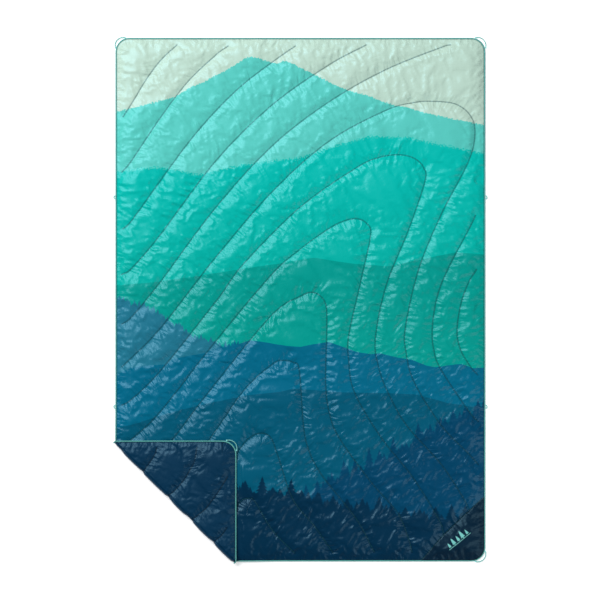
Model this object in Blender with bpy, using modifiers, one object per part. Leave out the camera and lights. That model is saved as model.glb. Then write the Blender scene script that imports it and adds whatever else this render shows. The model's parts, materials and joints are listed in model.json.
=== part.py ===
"""Quilted camp blanket, lying flat with one corner turned over, built in metres with +Z up.

Run with: blender --background --python part.py

The blanket is a face cloth, a sheet of fibre insulation and a back cloth, quilted together along
fourteen contour-line seams and closed all round by a corded piping with loops of cord sewn into it.
Everything is first laid out flat, face side up, centred on the origin with its head end towards +Y.
The lower left corner then turns over by half a turn about the fold line and lies on the face.
"""

import math

import bmesh
import bpy
from mathutils import Matrix, Vector
from mathutils.geometry import delaunay_2d_cdt, intersect_point_line

# Driving dimensions
WIDTH = 1.32
LENGTH = 1.868
CORNER_RADIUS = 0.050
LOFT = 0.020  # full height of a filled channel
PINCH = 0.0036  # height of the stack where a seam pulls it together
CLOTH = 0.0006
GAP = 0.0003  # clearance between neighbouring solids
PIPING_DIAMETER = 0.005
PIPING_WALL = 0.0006
LOOP_CORD = 0.0035
THREAD = 0.0010
FOLD_LEG = 0.433  # from the square corner to the fold line, along either edge

# Worked out from them
EDGE_INSET = PIPING_DIAMETER + GAP  # the cloths stop this far inside the outline
CHANNEL_RISE = 0.025  # run over which a channel climbs from its seam to full height
SHOULDER = CHANNEL_RISE + 0.001  # distance of the shoulder points from a seam
EDGE_ZONE = 0.060  # width of the border in which the layers droop or curl
FOLD_ZONE = 0.120  # the droop fades out this close to the fold line
MIDDLE = LOFT / 2
EDGE_LEVEL = PIPING_DIAMETER / 2 + GAP  # height of the piping's centre where it lies on the ground
CORNER_EDGE_LEVEL = 0.016  # the same in the turned corner, whose rim settles onto the face below it
FOLD_LEVEL = LOFT  # the fold turns about a line level with the top of the face
FACE_LIMIT = FOLD_LEVEL - GAP / 2
FOLD_SUM = -(WIDTH + LENGTH) / 2 + FOLD_LEG  # x + y is this along the fold line
HALF_WIDTH = WIDTH / 2
HALF_LENGTH = LENGTH / 2

# Quilting seams, laid out flat: each is a smooth line through these points
SEAMS = [
    [(-0.632, 0.652), (-0.600, 0.700), (-0.550, 0.783), (-0.500, 0.850), (-0.440, 0.908)],
    [(-0.636, 0.455), (-0.600, 0.497), (-0.500, 0.646), (-0.400, 0.777), (-0.300, 0.872), (-0.258, 0.904)],
    [(-0.632, 0.252), (-0.600, 0.283), (-0.500, 0.422), (-0.400, 0.558), (-0.300, 0.674), (-0.200, 0.770),
     (-0.100, 0.846), (-0.018, 0.904)],
    [(-0.636, 0.090), (-0.600, 0.113), (-0.500, 0.230), (-0.300, 0.496), (-0.100, 0.694), (0.100, 0.835),
     (0.235, 0.908)],
    [(-0.636, -0.087), (-0.600, -0.060), (-0.500, 0.062), (-0.300, 0.330), (-0.100, 0.548), (0.100, 0.703),
     (0.300, 0.817), (0.500, 0.898), (0.535, 0.908)],
    [(-0.636, -0.240), (-0.500, -0.103), (-0.300, 0.153), (-0.100, 0.385), (0.100, 0.563), (0.300, 0.672),
     (0.400, 0.701), (0.470, 0.706), (0.550, 0.697), (0.602, 0.660), (0.622, 0.600), (0.600, 0.496),
     (0.500, 0.300), (0.420, 0.104), (0.374, -0.100), (0.377, -0.190), (0.405, -0.293), (0.500, -0.446),
     (0.600, -0.550), (0.634, -0.588)],
    [(-0.636, -0.376), (-0.600, -0.354), (-0.500, -0.255), (-0.300, -0.005), (-0.200, 0.130), (0.000, 0.330),
     (0.200, 0.470), (0.280, 0.506), (0.350, 0.516), (0.405, 0.503), (0.439, 0.470), (0.443, 0.420),
     (0.385, 0.249), (0.306, 0.052), (0.267, -0.140), (0.281, -0.248), (0.318, -0.343), (0.380, -0.450),
     (0.500, -0.585), (0.575, -0.698), (0.600, -0.746)],
    [(-0.632, -0.520), (-0.600, -0.496), (-0.500, -0.400), (-0.300, -0.146), (-0.100, 0.092), (0.000, 0.180),
     (0.100, 0.252), (0.155, 0.280), (0.200, 0.288), (0.235, 0.272), (0.250, 0.230), (0.218, 0.080),
     (0.172, -0.129), (0.173, -0.224), (0.184, -0.305), (0.222, -0.388), (0.300, -0.508), (0.400, -0.633),
     (0.494, -0.785), (0.510, -0.833)],
    [(-0.634, -0.650), (-0.600, -0.637), (-0.500, -0.553), (-0.300, -0.295), (-0.100, -0.053), (0.000, 0.012),
     (0.040, 0.026), (0.072, 0.012), (0.091, -0.022), (0.094, -0.100), (0.090, -0.300), (0.105, -0.410),
     (0.140, -0.495), (0.250, -0.648), (0.345, -0.758), (0.384, -0.848), (0.398, -0.900)],
    [(-0.634, -0.793), (-0.573, -0.778), (-0.473, -0.703), (-0.324, -0.498), (-0.200, -0.322), (-0.100, -0.230),
     (-0.060, -0.217), (-0.025, -0.224), (-0.004, -0.252), (0.010, -0.440), (0.028, -0.530), (0.075, -0.623),
     (0.200, -0.783), (0.264, -0.900)],
    [(-0.531, -0.902), (-0.450, -0.849), (-0.385, -0.783), (-0.220, -0.538), (-0.175, -0.489), (-0.138, -0.476),
     (-0.105, -0.493), (-0.079, -0.560), (-0.026, -0.712), (0.050, -0.807), (0.116, -0.902)],
    [(-0.350, -0.900), (-0.307, -0.861), (-0.220, -0.728), (-0.184, -0.708), (-0.160, -0.722), (-0.100, -0.821),
     (-0.020, -0.904)],
    [(0.634, -0.434), (0.600, -0.398), (0.500, -0.248), (0.475, -0.177), (0.470, -0.100), (0.487, 0.009),
     (0.525, 0.108), (0.600, 0.251), (0.624, 0.300)],
    [(0.632, -0.268), (0.605, -0.238), (0.570, -0.177), (0.558, -0.110), (0.572, -0.015), (0.600, 0.063),
     (0.628, 0.107)],
]
SEAM_TOLERANCE = 0.0045  # a seam's straight pieces stay this close to its smooth line
SEAM_LONGEST = 0.150  # and are no longer than this
CORNER_STEPS = 3  # straight pieces round a corner of the cloths; the piping has twice as many

# The sewn edge of the plain patch over the lower right corner, from the bottom edge to the right one
PATCH_EDGE = [(0.426, -0.935), (0.450, -0.908), (0.509, -0.839), (0.600, -0.752), (0.662, -0.698)]

# Loops of cord: corner loops bridge the rounded corners, side loops stand out from the long edges
CORNER_LOOP_RADIUS = 0.029
CORNER_LOOP_CENTRE = 0.0316  # from the centre of the corner's rounding, along the diagonal
CORD_CLEARANCE = LOOP_CORD / 2 + 2 * GAP  # from the outline to the middle of a loop's sewn end
SIDE_LOOP_HALF = 0.00525  # a side loop is half an ellipse
SIDE_LOOP_REACH = 0.003
LOOP_STEPS = 12
SIDE_LOOP_PLACES = {"upper": 0.365, "lower": -0.382}


def material(name, colour, roughness):
    """A plain cloth or cord material."""
    made = bpy.data.materials.new(name)
    made.use_nodes = True
    shader = made.node_tree.nodes["Principled BSDF"]
    shader.inputs["Base Color"].default_value = (*colour, 1)
    shader.inputs["Roughness"].default_value = roughness
    shader.inputs["Metallic"].default_value = 0
    made.diffuse_color = (*colour, 1)
    return made


def smooth_step(t):
    t = min(max(t, 0.0), 1.0)
    return t * t * (3 - 2 * t)


def smooth_line(points, steps=12):
    """A Catmull-Rom line through the points."""
    ends = [2 * Vector(points[0]) - Vector(points[1]), 2 * Vector(points[-1]) - Vector(points[-2])]
    hull = [ends[0], *map(Vector, points), ends[1]]
    line = []
    for a, b, c, d in zip(hull, hull[1:], hull[2:], hull[3:]):
        for i in range(steps):
            t = i / steps
            line.append(0.5 * (2 * b + (c - a) * t + (2 * a - 5 * b + 4 * c - d) * t**2
                               + (3 * b - a - 3 * c + d) * t**3))
    return line + [Vector(points[-1])]


def simplified(line):
    """The line with only the points that keep it within SEAM_TOLERANCE, and none over SEAM_LONGEST apart."""
    start, end = line[0], line[-1]
    far, at = 0.0, len(line) // 2
    for i in range(1, len(line) - 1):
        foot, share = intersect_point_line(line[i], start, end)
        off = (line[i] - foot.to_2d()).length if 0 < share < 1 else (line[i] - start).length
        if off > far:
            far, at = off, i
    if len(line) < 3 or (far < SEAM_TOLERANCE and (end - start).length < SEAM_LONGEST):
        return [start, end]
    if far < SEAM_TOLERANCE:
        at = len(line) // 2
    return simplified(line[:at + 1])[:-1] + simplified(line[at:])


def fold_side(point):
    """Distance from the fold line: positive on the main panel, negative on the corner that turns over."""
    return (point[0] + point[1] - FOLD_SUM) / math.sqrt(2)


def cut_at_fold(line):
    """The stretches of a line on the main panel and on the turned corner, each stopping GAP / 2 off the fold."""
    parts = {"main": [], "corner": []}
    for side, sign in (("main", 1), ("corner", -1)):
        for a, b in zip(line, line[1:]):
            da, db = (sign * fold_side(p) - GAP / 2 for p in (a, b))
            if da > 0 and not parts[side]:
                parts[side].append(a)
            if da * db < 0:
                parts[side].append(a.lerp(b, da / (da - db)))
            if db > 0:
                parts[side].append(b)
    return parts["main"], parts["corner"]


def rounded_outline(inset, corner_steps):
    """The blanket's outline, anticlockwise from the lower left corner's lower end, set in by inset."""
    radius = CORNER_RADIUS - inset
    points = []
    for quarter, (sx, sy) in zip((2, 3, 0, 1), ((-1, -1), (1, -1), (1, 1), (-1, 1))):
        centre = Vector((sx * (HALF_WIDTH - CORNER_RADIUS), sy * (HALF_LENGTH - CORNER_RADIUS)))
        for i in range(corner_steps + 1):
            angle = math.pi / 2 * (quarter + i / corner_steps)
            points.append(centre + radius * Vector((math.cos(angle), math.sin(angle))))
    return points


def divided(line, longest):
    """The line with its long straight runs divided evenly."""
    points = [line[0]]
    for a, b in zip(line, line[1:]):
        parts = max(1, math.ceil((b - a).length / longest))
        points += [a.lerp(b, i / parts) for i in range(1, parts + 1)]
    return points


def perimeter(inset, corner_steps, longest):
    """The outline as two open lines that end at the fold: the main panel's, and the turned corner's."""
    outline = rounded_outline(inset, corner_steps)
    start = corner_steps + 1  # the lower right corner begins here, beyond the fold
    main_line = outline[start - 1:] + [outline[0]]
    corner_line = [outline[-1]] + outline[:start] + [outline[start]]
    main_part = cut_at_fold(main_line)[0]
    corner_part = cut_at_fold(corner_line)[1]
    return divided(main_part, longest), divided(corner_part, longest)


SEAM_LINES = [simplified(smooth_line(points)) for points in SEAMS]
SEAM_PARTS = [cut_at_fold(line) for line in SEAM_LINES]
PATCH_LINE = simplified(smooth_line(PATCH_EDGE))


def edge_distance(point):
    """Distance inwards from the cloths' own outline."""
    half = Vector((HALF_WIDTH, HALF_LENGTH)) - Vector((CORNER_RADIUS, CORNER_RADIUS))
    over = Vector((abs(point[0]), abs(point[1]))) - half
    outside = Vector((max(over.x, 0), max(over.y, 0))).length
    return CORNER_RADIUS - EDGE_INSET - outside - min(max(over.x, over.y), 0)


def seam_distance(point):
    """Distance from the nearest quilting seam or from the outline."""
    best = edge_distance(point)
    for line in [*SEAM_LINES, PATCH_LINE]:
        for a, b in zip(line, line[1:]):
            share = max(0.0, min(1.0, (point - a).dot(b - a) / (b - a).length_squared))
            best = min(best, (point - a.lerp(b, share)).length)
    return best


def middle_level(point, edge_level):
    """Height of the middle of the stack: its rim droops to the ground or curls, except beside the fold."""
    rim = smooth_step(1 - edge_distance(point) / EDGE_ZONE)
    return MIDDLE + (edge_level - MIDDLE) * rim * smooth_step(abs(fold_side(point)) / FOLD_ZONE)


def stack_levels(point, edge_level):
    """Heights of the under side and the top of the stack of layers."""
    height = PINCH + (LOFT - PINCH) * min(seam_distance(point) / CHANNEL_RISE, 1)
    middle = middle_level(point, edge_level)
    return max(middle - height / 2, 0), min(middle + height / 2, FACE_LIMIT)


def shoulder_points(lines, side):
    """Points beside each seam and inside the rim, where the channels have reached their full height."""
    found = []
    for line in lines:
        for i, point in enumerate(line):
            along = (line[min(i + 1, len(line) - 1)] - line[max(i - 1, 0)]).normalized()
            across = Vector((-along.y, along.x)) * SHOULDER
            for candidate in (point + across, point - across):
                clear = min((candidate - other).length for other in found) if found else 1
                if (seam_distance(candidate) > 0.8 * SHOULDER and clear > 0.9 * SHOULDER
                        and side * fold_side(candidate) > SHOULDER / 2):
                    found.append(candidate)
    return found


def quilt_plan(rim, seams, side):
    """The flat triangulation of one panel: its rim, its seams, and shoulder points between them."""
    points, edges = list(rim), [(i, (i + 1) % len(rim)) for i in range(len(rim))]
    for line in seams:
        edges += [(len(points) + i, len(points) + i + 1) for i in range(len(line) - 1)]
        points += line
    points += shoulder_points([*seams, rim], side)
    made = delaunay_2d_cdt(points, edges, [list(range(len(rim)))], 1, 1e-6)
    return made[0], made[2]


def quilt_layer(name, plan, lower, upper, finish, collection, parent):
    """A closed layer over the plan, from the height lower(point) to upper(point)."""
    bm = bmesh.new()
    flat = [bm.verts.new((p.x, p.y, lower(i))) for i, p in enumerate(plan[0])]
    faces = [bm.faces.new([flat[i] for i in face]) for face in plan[1]]
    top = bmesh.ops.extrude_face_region(bm, geom=faces)["geom"]
    place = {(round(p.x, 7), round(p.y, 7)): i for i, p in enumerate(plan[0])}
    for vert in (v for v in top if isinstance(v, bmesh.types.BMVert)):
        vert.co.z = upper(place[(round(vert.co.x, 7), round(vert.co.y, 7))])
    bmesh.ops.recalc_face_normals(bm, faces=bm.faces)
    mesh = bpy.data.meshes.new(name)
    bm.to_mesh(mesh)
    bm.free()
    return add_object(name, mesh, finish, collection, parent)


def add_object(name, data, finish, collection, parent):
    """Children are laid out flat in world space, so only the parent's place is taken out, not its turn."""
    made = bpy.data.objects.new(name, data)
    data.materials.append(finish)
    collection.objects.link(made)
    if parent:
        made.parent = parent
        made.matrix_parent_inverse = Matrix.Translation(-parent.location)
    return made


def tube(name, line, radius, finish, collection, parent, sides_setting=0, wall=0.0):
    """A cord along the line of points; with a wall it is a sleeve, open at its ends."""
    curve = bpy.data.curves.new(name, "CURVE")
    curve.dimensions = "3D"
    curve.bevel_depth = radius
    curve.bevel_resolution = sides_setting
    curve.use_fill_caps = not wall
    spline = curve.splines.new("POLY")
    spline.points.add(len(line) - 1)
    for slot, point in zip(spline.points, line):
        slot.co = (*point, 1)
    made = add_object(name, curve, finish, collection, parent)
    if wall:
        solidify = made.modifiers.new("sleeve_wall", "SOLIDIFY")
        solidify.thickness = wall
        solidify.offset = -1
    return made


def add_panel(prefix, side, rim, seams, edge_level, finishes, collection, parent):
    """Face cloth, insulation and back cloth of one panel, each a layer over the same plan."""
    plan = quilt_plan(rim, seams, side)
    levels = [stack_levels(point, edge_level) for point in plan[0]]
    skin = CLOTH + GAP
    quilt_layer(prefix + "face_cloth", plan, lambda i: levels[i][1] - CLOTH, lambda i: levels[i][1],
                finishes["face"], collection, parent)
    quilt_layer(prefix + "insulation", plan, lambda i: levels[i][0] + skin, lambda i: levels[i][1] - skin,
                finishes["fill"], collection, parent)
    quilt_layer(prefix + "back_cloth", plan, lambda i: levels[i][0], lambda i: levels[i][0] + CLOTH,
                finishes["back"], collection, parent)
    return plan, levels


def beyond_patch_edge(point):
    """Whether a point lies under the corner patch, on the corner's side of its sewn edge."""
    for a, b in zip(PATCH_LINE, PATCH_LINE[1:]):
        if a.x <= point.x <= b.x:
            return point.y < a.lerp(b, (point.x - a.x) / (b.x - a.x)).y
    return point.x > PATCH_LINE[-1].x


def add_patch(plan, levels, finishes, collection):
    """The patch is a second cloth on the face, over the plan's triangles beyond its sewn edge."""
    points, faces = plan
    covered = [face for face in faces if beyond_patch_edge(sum((points[i] for i in face), Vector((0, 0))) / 3)]
    used = sorted({i for face in covered for i in face})
    renumbered = {old: new for new, old in enumerate(used)}
    patch_plan = [points[i] for i in used], [[renumbered[i] for i in face] for face in covered]
    quilt_layer("corner_patch", patch_plan, lambda i: levels[used[i]][1] + GAP,
                lambda i: levels[used[i]][1] + GAP + CLOTH, finishes["patch"], collection, None)
    sewn = [p for p in PATCH_LINE if edge_distance(p) > THREAD]
    clear = 2 * GAP + CLOTH + THREAD / 2
    line = [(p.x, p.y, stack_levels(p, EDGE_LEVEL)[1] + clear) for p in sewn]
    tube("patch_thread", line, THREAD / 2, finishes["thread"], collection, None)


def add_threads(prefix, part, edge_level, finishes, collection, parent):
    """Each seam's two threads: the needle thread lies on the face and the bobbin thread under the back."""
    clear = GAP + THREAD / 2
    for number, parts in enumerate(SEAM_PARTS, 1):
        line = parts[part]
        if len(line) < 2:
            continue
        levels = [stack_levels(point, edge_level) for point in line]
        needle = [(p.x, p.y, top + clear) for p, (_, top) in zip(line, levels)]
        bobbin = [(p.x, p.y, under - clear) for p, (under, _) in zip(line, levels)]
        for kind, path in (("needle", needle), ("bobbin", bobbin)):
            tube(f"{prefix}{kind}_thread_{number:02d}", path, THREAD / 2, finishes["thread"], collection, parent)


def add_piping(prefix, line, edge_level, finishes, collection, parent):
    """The piping is a filler cord in a sleeve of tape."""
    path = [(p.x, p.y, middle_level(p, edge_level)) for p in line]
    tube(prefix + "piping_tape", path, PIPING_DIAMETER / 2, finishes["trim"], collection, parent,
         sides_setting=1, wall=PIPING_WALL)
    tube(prefix + "piping_cord", path, PIPING_DIAMETER / 2 - PIPING_WALL - 2 * GAP, finishes["cord"],
         collection, parent, sides_setting=1)


def hinge(name, place, collection, parent=None):
    """An empty on a joint's axis, placed in the flat layout."""
    made = bpy.data.objects.new(name, None)
    made.location = place
    made.empty_display_size = 0.03
    collection.objects.link(made)
    if parent:
        made.parent = parent
        made.matrix_parent_inverse = Matrix.Translation(-parent.location)
    return made


def add_corner_loop(name, sx, sy, level, finishes, collection, parent):
    """An arc of cord bridging one rounded corner; it swings about the chord through its sewn ends."""
    rounding = Vector((sx * (HALF_WIDTH - CORNER_RADIUS), sy * (HALF_LENGTH - CORNER_RADIUS), level))
    outwards = Vector((sx, sy, 0)).normalized()
    along = Vector((-outwards.y, outwards.x, 0))
    centre = rounding + CORNER_LOOP_CENTRE * outwards
    stop = CORNER_RADIUS + CORD_CLEARANCE
    cosine = (stop**2 - CORNER_LOOP_CENTRE**2 - CORNER_LOOP_RADIUS**2) / (
        2 * CORNER_LOOP_CENTRE * CORNER_LOOP_RADIUS)
    half_arc = math.acos(cosine)
    angles = [half_arc * (2 * i / LOOP_STEPS - 1) for i in range(LOOP_STEPS + 1)]
    path = [centre + CORNER_LOOP_RADIUS * (math.cos(a) * outwards + math.sin(a) * along) for a in angles]
    pivot = hinge(name + "_hinge", (path[0] + path[-1]) / 2, collection, parent)
    tube(name, path, LOOP_CORD / 2, finishes["loop"], collection, pivot, sides_setting=1)


def add_side_loop(name, sx, place, finishes, collection):
    """A half ellipse of cord standing out from a long edge; it swings about the line of its sewn ends."""
    ends = Vector((sx * (HALF_WIDTH + CORD_CLEARANCE), place, EDGE_LEVEL))
    angles = [math.pi * (i / LOOP_STEPS - 0.5) for i in range(LOOP_STEPS + 1)]
    path = [ends + Vector((sx * SIDE_LOOP_REACH * math.cos(a), SIDE_LOOP_HALF * math.sin(a), 0)) for a in angles]
    pivot = hinge(name + "_hinge", ends, collection)
    tube(name, path, LOOP_CORD / 2, finishes["loop"], collection, pivot, sides_setting=1)


def add_loops(finishes, collection, fold_hinge):
    for name, sx, sy in (("top_left", -1, 1), ("top_right", 1, 1), ("bottom_right", 1, -1)):
        add_corner_loop("corner_loop_" + name, sx, sy, EDGE_LEVEL, finishes, collection, None)
    add_corner_loop("corner_loop_turned", -1, -1, CORNER_EDGE_LEVEL, finishes, collection, fold_hinge)
    for side, sx in (("left", -1), ("right", 1)):
        for level_name, place in SIDE_LOOP_PLACES.items():
            add_side_loop(f"side_loop_{side}_{level_name}", sx, place, finishes, collection)


def main():
    for thing in list(bpy.data.objects):
        bpy.data.objects.remove(thing)
    collection = bpy.data.collections.new("camp_blanket")
    bpy.context.scene.collection.children.link(collection)
    finishes = {
        "face": material("printed_face_cloth", (0.0, 0.45, 0.42), 0.4),
        "fill": material("fibre_fill", (0.85, 0.85, 0.82), 0.95),
        "patch": material("corner_patch_cloth", (0.0, 0.012, 0.032), 0.4),
        "back": material("navy_back_cloth", (0.0, 0.035, 0.09), 0.45),
        "trim": material("piping_tape", (0.16, 0.60, 0.54), 0.6),
        "cord": material("filler_cord", (0.8, 0.8, 0.75), 0.9),
        "loop": material("loop_cord", (0.25, 0.72, 0.66), 0.65),
        "thread": material("quilting_thread", (0.02, 0.22, 0.24), 0.6),
    }

    # The fold hinge: what hangs on it is laid out flat and then turned over about the fold line
    fold_middle = Vector((FOLD_LEG / 2 - HALF_WIDTH, FOLD_LEG / 2 - HALF_LENGTH, FOLD_LEVEL))
    fold_hinge = hinge("fold_hinge", fold_middle, collection)
    fold_axis = Vector((1, -1, 0)).normalized()

    rim_main, rim_corner = perimeter(EDGE_INSET, CORNER_STEPS, SEAM_LONGEST)
    main_seams = [parts[0] for parts in SEAM_PARTS if len(parts[0]) > 1] + [PATCH_LINE]
    corner_seams = [parts[1] for parts in SEAM_PARTS if len(parts[1]) > 1]
    plan, levels = add_panel("", 1, rim_main, main_seams, EDGE_LEVEL, finishes, collection, None)
    add_patch(plan, levels, finishes, collection)
    add_panel("corner_", -1, rim_corner, corner_seams, CORNER_EDGE_LEVEL, finishes, collection, fold_hinge)
    add_threads("", 0, EDGE_LEVEL, finishes, collection, None)
    add_threads("corner_", 1, CORNER_EDGE_LEVEL, finishes, collection, fold_hinge)

    piping_main, piping_corner = perimeter(PIPING_DIAMETER / 2, 2 * CORNER_STEPS, SEAM_LONGEST)
    add_piping("", piping_main, EDGE_LEVEL, finishes, collection, None)
    add_piping("corner_", piping_corner, CORNER_EDGE_LEVEL, finishes, collection, fold_hinge)
    add_loops(finishes, collection, fold_hinge)

    fold_hinge.rotation_mode = "AXIS_ANGLE"
    fold_hinge.rotation_axis_angle = (math.pi, *fold_axis)


main()
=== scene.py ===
"""Quilted camp blanket: the finished cloths, seams, piping, cord loops and corner patch around its frame.

The blanket lies flat with one corner turned over. Each panel is planned flat, as it was cut, and keeps that
flat place in its UV map, so the print and the weave run unbroken across the fold.
"""

import json
import math

import bmesh
import bpy
import numpy as np
from bpy.props import FloatProperty, FloatVectorProperty, PointerProperty
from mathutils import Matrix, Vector
from mathutils.geometry import delaunay_2d_cdt
from mathutils.kdtree import KDTree


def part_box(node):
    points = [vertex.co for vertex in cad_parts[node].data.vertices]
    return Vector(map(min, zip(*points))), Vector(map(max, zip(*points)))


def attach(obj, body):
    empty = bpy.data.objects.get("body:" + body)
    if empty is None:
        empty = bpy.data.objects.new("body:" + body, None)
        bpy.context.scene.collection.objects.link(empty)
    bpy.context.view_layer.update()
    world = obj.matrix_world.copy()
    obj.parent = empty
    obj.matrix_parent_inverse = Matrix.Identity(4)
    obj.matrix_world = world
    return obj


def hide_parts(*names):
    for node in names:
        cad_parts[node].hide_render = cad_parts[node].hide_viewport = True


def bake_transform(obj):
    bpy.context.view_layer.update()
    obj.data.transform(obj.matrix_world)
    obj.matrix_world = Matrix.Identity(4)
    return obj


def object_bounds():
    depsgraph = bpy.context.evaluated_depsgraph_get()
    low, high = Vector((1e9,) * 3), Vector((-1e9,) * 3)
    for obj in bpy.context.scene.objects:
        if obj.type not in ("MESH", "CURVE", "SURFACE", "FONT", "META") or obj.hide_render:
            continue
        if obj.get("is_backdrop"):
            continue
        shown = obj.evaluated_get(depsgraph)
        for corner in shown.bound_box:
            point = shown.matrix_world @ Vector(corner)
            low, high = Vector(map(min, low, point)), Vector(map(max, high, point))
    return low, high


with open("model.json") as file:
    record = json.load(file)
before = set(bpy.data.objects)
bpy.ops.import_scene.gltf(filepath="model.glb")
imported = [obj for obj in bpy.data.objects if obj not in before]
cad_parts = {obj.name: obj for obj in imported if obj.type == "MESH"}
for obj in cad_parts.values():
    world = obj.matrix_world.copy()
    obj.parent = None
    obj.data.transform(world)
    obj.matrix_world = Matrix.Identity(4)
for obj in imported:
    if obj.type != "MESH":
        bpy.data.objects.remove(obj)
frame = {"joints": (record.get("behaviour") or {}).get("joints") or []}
CAD_BOX = [list(corner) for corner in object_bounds()]

bl_info = {
    "name": "Quilted Camp Blanket",
    "version": (1, 0, 0),
    "blender": (4, 5, 0),
    "location": "View3D > Sidebar > Blanket",
    "description": "Builds a quilted, piped camp blanket with a mountain print around its packed frame",
    "category": "Add Mesh",
}

# ---- Sizes read from the frame ----

OUTLINE_LOW, OUTLINE_HIGH = (np.array(corner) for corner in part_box("piping_tape"))
HALF_SIZE = (OUTLINE_HIGH - OUTLINE_LOW)[:2] / 2
FOLD = next(joint for joint in frame["joints"] if joint["name"] == "corner_fold")
FOLD_PLACE = np.array(FOLD["pos_m"])
FOLD_SUM = FOLD_PLACE[0] + FOLD_PLACE[1]  # x + y is this along the fold line
FOLD_LEVEL = FOLD_PLACE[2]
MIDDLE = FOLD_LEVEL / 2

# ---- Sizes of the making ----

CORNER_RADIUS = 0.050
PIPING_RADIUS = 0.0025
CLOTH_INSET = 0.0042  # the quilt's rim runs inside the piping
CORD_RADIUS = 0.00175
RIM_LEVEL = 0.0028  # height of the rim on the ground, and in the turned corner before it is turned
CORNER_RIM_LEVEL = 0.016
RIM_PINCH = 0.0022  # thickness at the rim
SEAM_PINCH = 0.0036  # thickness where a seam is stitched through
EDGE_ZONE = 0.060  # the rim droops over this width
FOLD_ZONE = 0.120  # the droop fades out this near the fold
CORNER_CLEARANCE = 0.0003  # kept under the turned corner
SHEET_THICKNESS = 0.0004  # of the patch and of the mark on it
MOST_WRINKLE = 0.0016  # how far the cloth simulation may raise or lower a wrinkle
MOST_SWELL = 0.0035  # how far it may swell a channel
MOST_SLIDE = 0.003  # how far it may slide the cloth sideways

# Quilting seams, laid out flat: each is a smooth line through these points
SEAMS = [
    [(-0.632, 0.652), (-0.600, 0.700), (-0.550, 0.783), (-0.500, 0.850), (-0.440, 0.908)],
    [(-0.636, 0.455), (-0.600, 0.497), (-0.500, 0.646), (-0.400, 0.777), (-0.300, 0.872), (-0.258, 0.904)],
    [(-0.632, 0.252), (-0.600, 0.283), (-0.500, 0.422), (-0.400, 0.558), (-0.300, 0.674), (-0.200, 0.770),
     (-0.100, 0.846), (-0.018, 0.904)],
    [(-0.636, 0.090), (-0.600, 0.113), (-0.500, 0.230), (-0.300, 0.496), (-0.100, 0.694), (0.100, 0.835),
     (0.235, 0.908)],
    [(-0.636, -0.087), (-0.600, -0.060), (-0.500, 0.062), (-0.300, 0.330), (-0.100, 0.548), (0.100, 0.703),
     (0.300, 0.817), (0.500, 0.898), (0.535, 0.908)],
    [(-0.636, -0.240), (-0.500, -0.103), (-0.300, 0.153), (-0.100, 0.385), (0.100, 0.563), (0.300, 0.672),
     (0.400, 0.701), (0.470, 0.706), (0.550, 0.697), (0.602, 0.660), (0.622, 0.600), (0.600, 0.496),
     (0.500, 0.300), (0.420, 0.104), (0.374, -0.100), (0.377, -0.190), (0.405, -0.293), (0.500, -0.446),
     (0.600, -0.550), (0.634, -0.588)],
    [(-0.636, -0.376), (-0.600, -0.354), (-0.500, -0.255), (-0.300, -0.005), (-0.200, 0.130), (0.000, 0.330),
     (0.200, 0.470), (0.280, 0.506), (0.350, 0.516), (0.405, 0.503), (0.439, 0.470), (0.443, 0.420),
     (0.385, 0.249), (0.306, 0.052), (0.267, -0.140), (0.281, -0.248), (0.318, -0.343), (0.380, -0.450),
     (0.500, -0.585), (0.575, -0.698), (0.600, -0.746)],
    [(-0.632, -0.520), (-0.600, -0.496), (-0.500, -0.400), (-0.300, -0.146), (-0.100, 0.092), (0.000, 0.180),
     (0.100, 0.252), (0.155, 0.280), (0.200, 0.288), (0.235, 0.272), (0.250, 0.230), (0.218, 0.080),
     (0.172, -0.129), (0.173, -0.224), (0.184, -0.305), (0.222, -0.388), (0.300, -0.508), (0.400, -0.633),
     (0.494, -0.785), (0.510, -0.833)],
    [(-0.634, -0.650), (-0.600, -0.637), (-0.500, -0.553), (-0.300, -0.295), (-0.100, -0.053), (0.000, 0.012),
     (0.040, 0.026), (0.072, 0.012), (0.091, -0.022), (0.094, -0.100), (0.090, -0.300), (0.105, -0.410),
     (0.140, -0.495), (0.250, -0.648), (0.345, -0.758), (0.384, -0.848), (0.398, -0.900)],
    [(-0.634, -0.793), (-0.573, -0.778), (-0.473, -0.703), (-0.324, -0.498), (-0.200, -0.322), (-0.100, -0.230),
     (-0.060, -0.217), (-0.025, -0.224), (-0.004, -0.252), (0.010, -0.440), (0.028, -0.530), (0.075, -0.623),
     (0.200, -0.783), (0.264, -0.900)],
    [(-0.531, -0.902), (-0.450, -0.849), (-0.385, -0.783), (-0.220, -0.538), (-0.175, -0.489), (-0.138, -0.476),
     (-0.105, -0.493), (-0.079, -0.560), (-0.026, -0.712), (0.050, -0.807), (0.116, -0.902)],
    [(-0.350, -0.900), (-0.307, -0.861), (-0.220, -0.728), (-0.184, -0.708), (-0.160, -0.722), (-0.100, -0.821),
     (-0.020, -0.904)],
    [(0.634, -0.434), (0.600, -0.398), (0.500, -0.248), (0.475, -0.177), (0.470, -0.100), (0.487, 0.009),
     (0.525, 0.108), (0.600, 0.251), (0.624, 0.300)],
    [(0.632, -0.268), (0.605, -0.238), (0.570, -0.177), (0.558, -0.110), (0.572, -0.015), (0.600, 0.063),
     (0.628, 0.107)],
]
PATCH_EDGE = [(0.431, -0.929), (0.450, -0.908), (0.509, -0.839), (0.600, -0.752), (0.655, -0.704)]


# ---- Plain helpers ----

def smooth_step(t):
    """0 below 0 and 1 above 1, with an even run between."""
    t = np.clip(t, 0, 1)
    return t * t * (3 - 2 * t)


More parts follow.
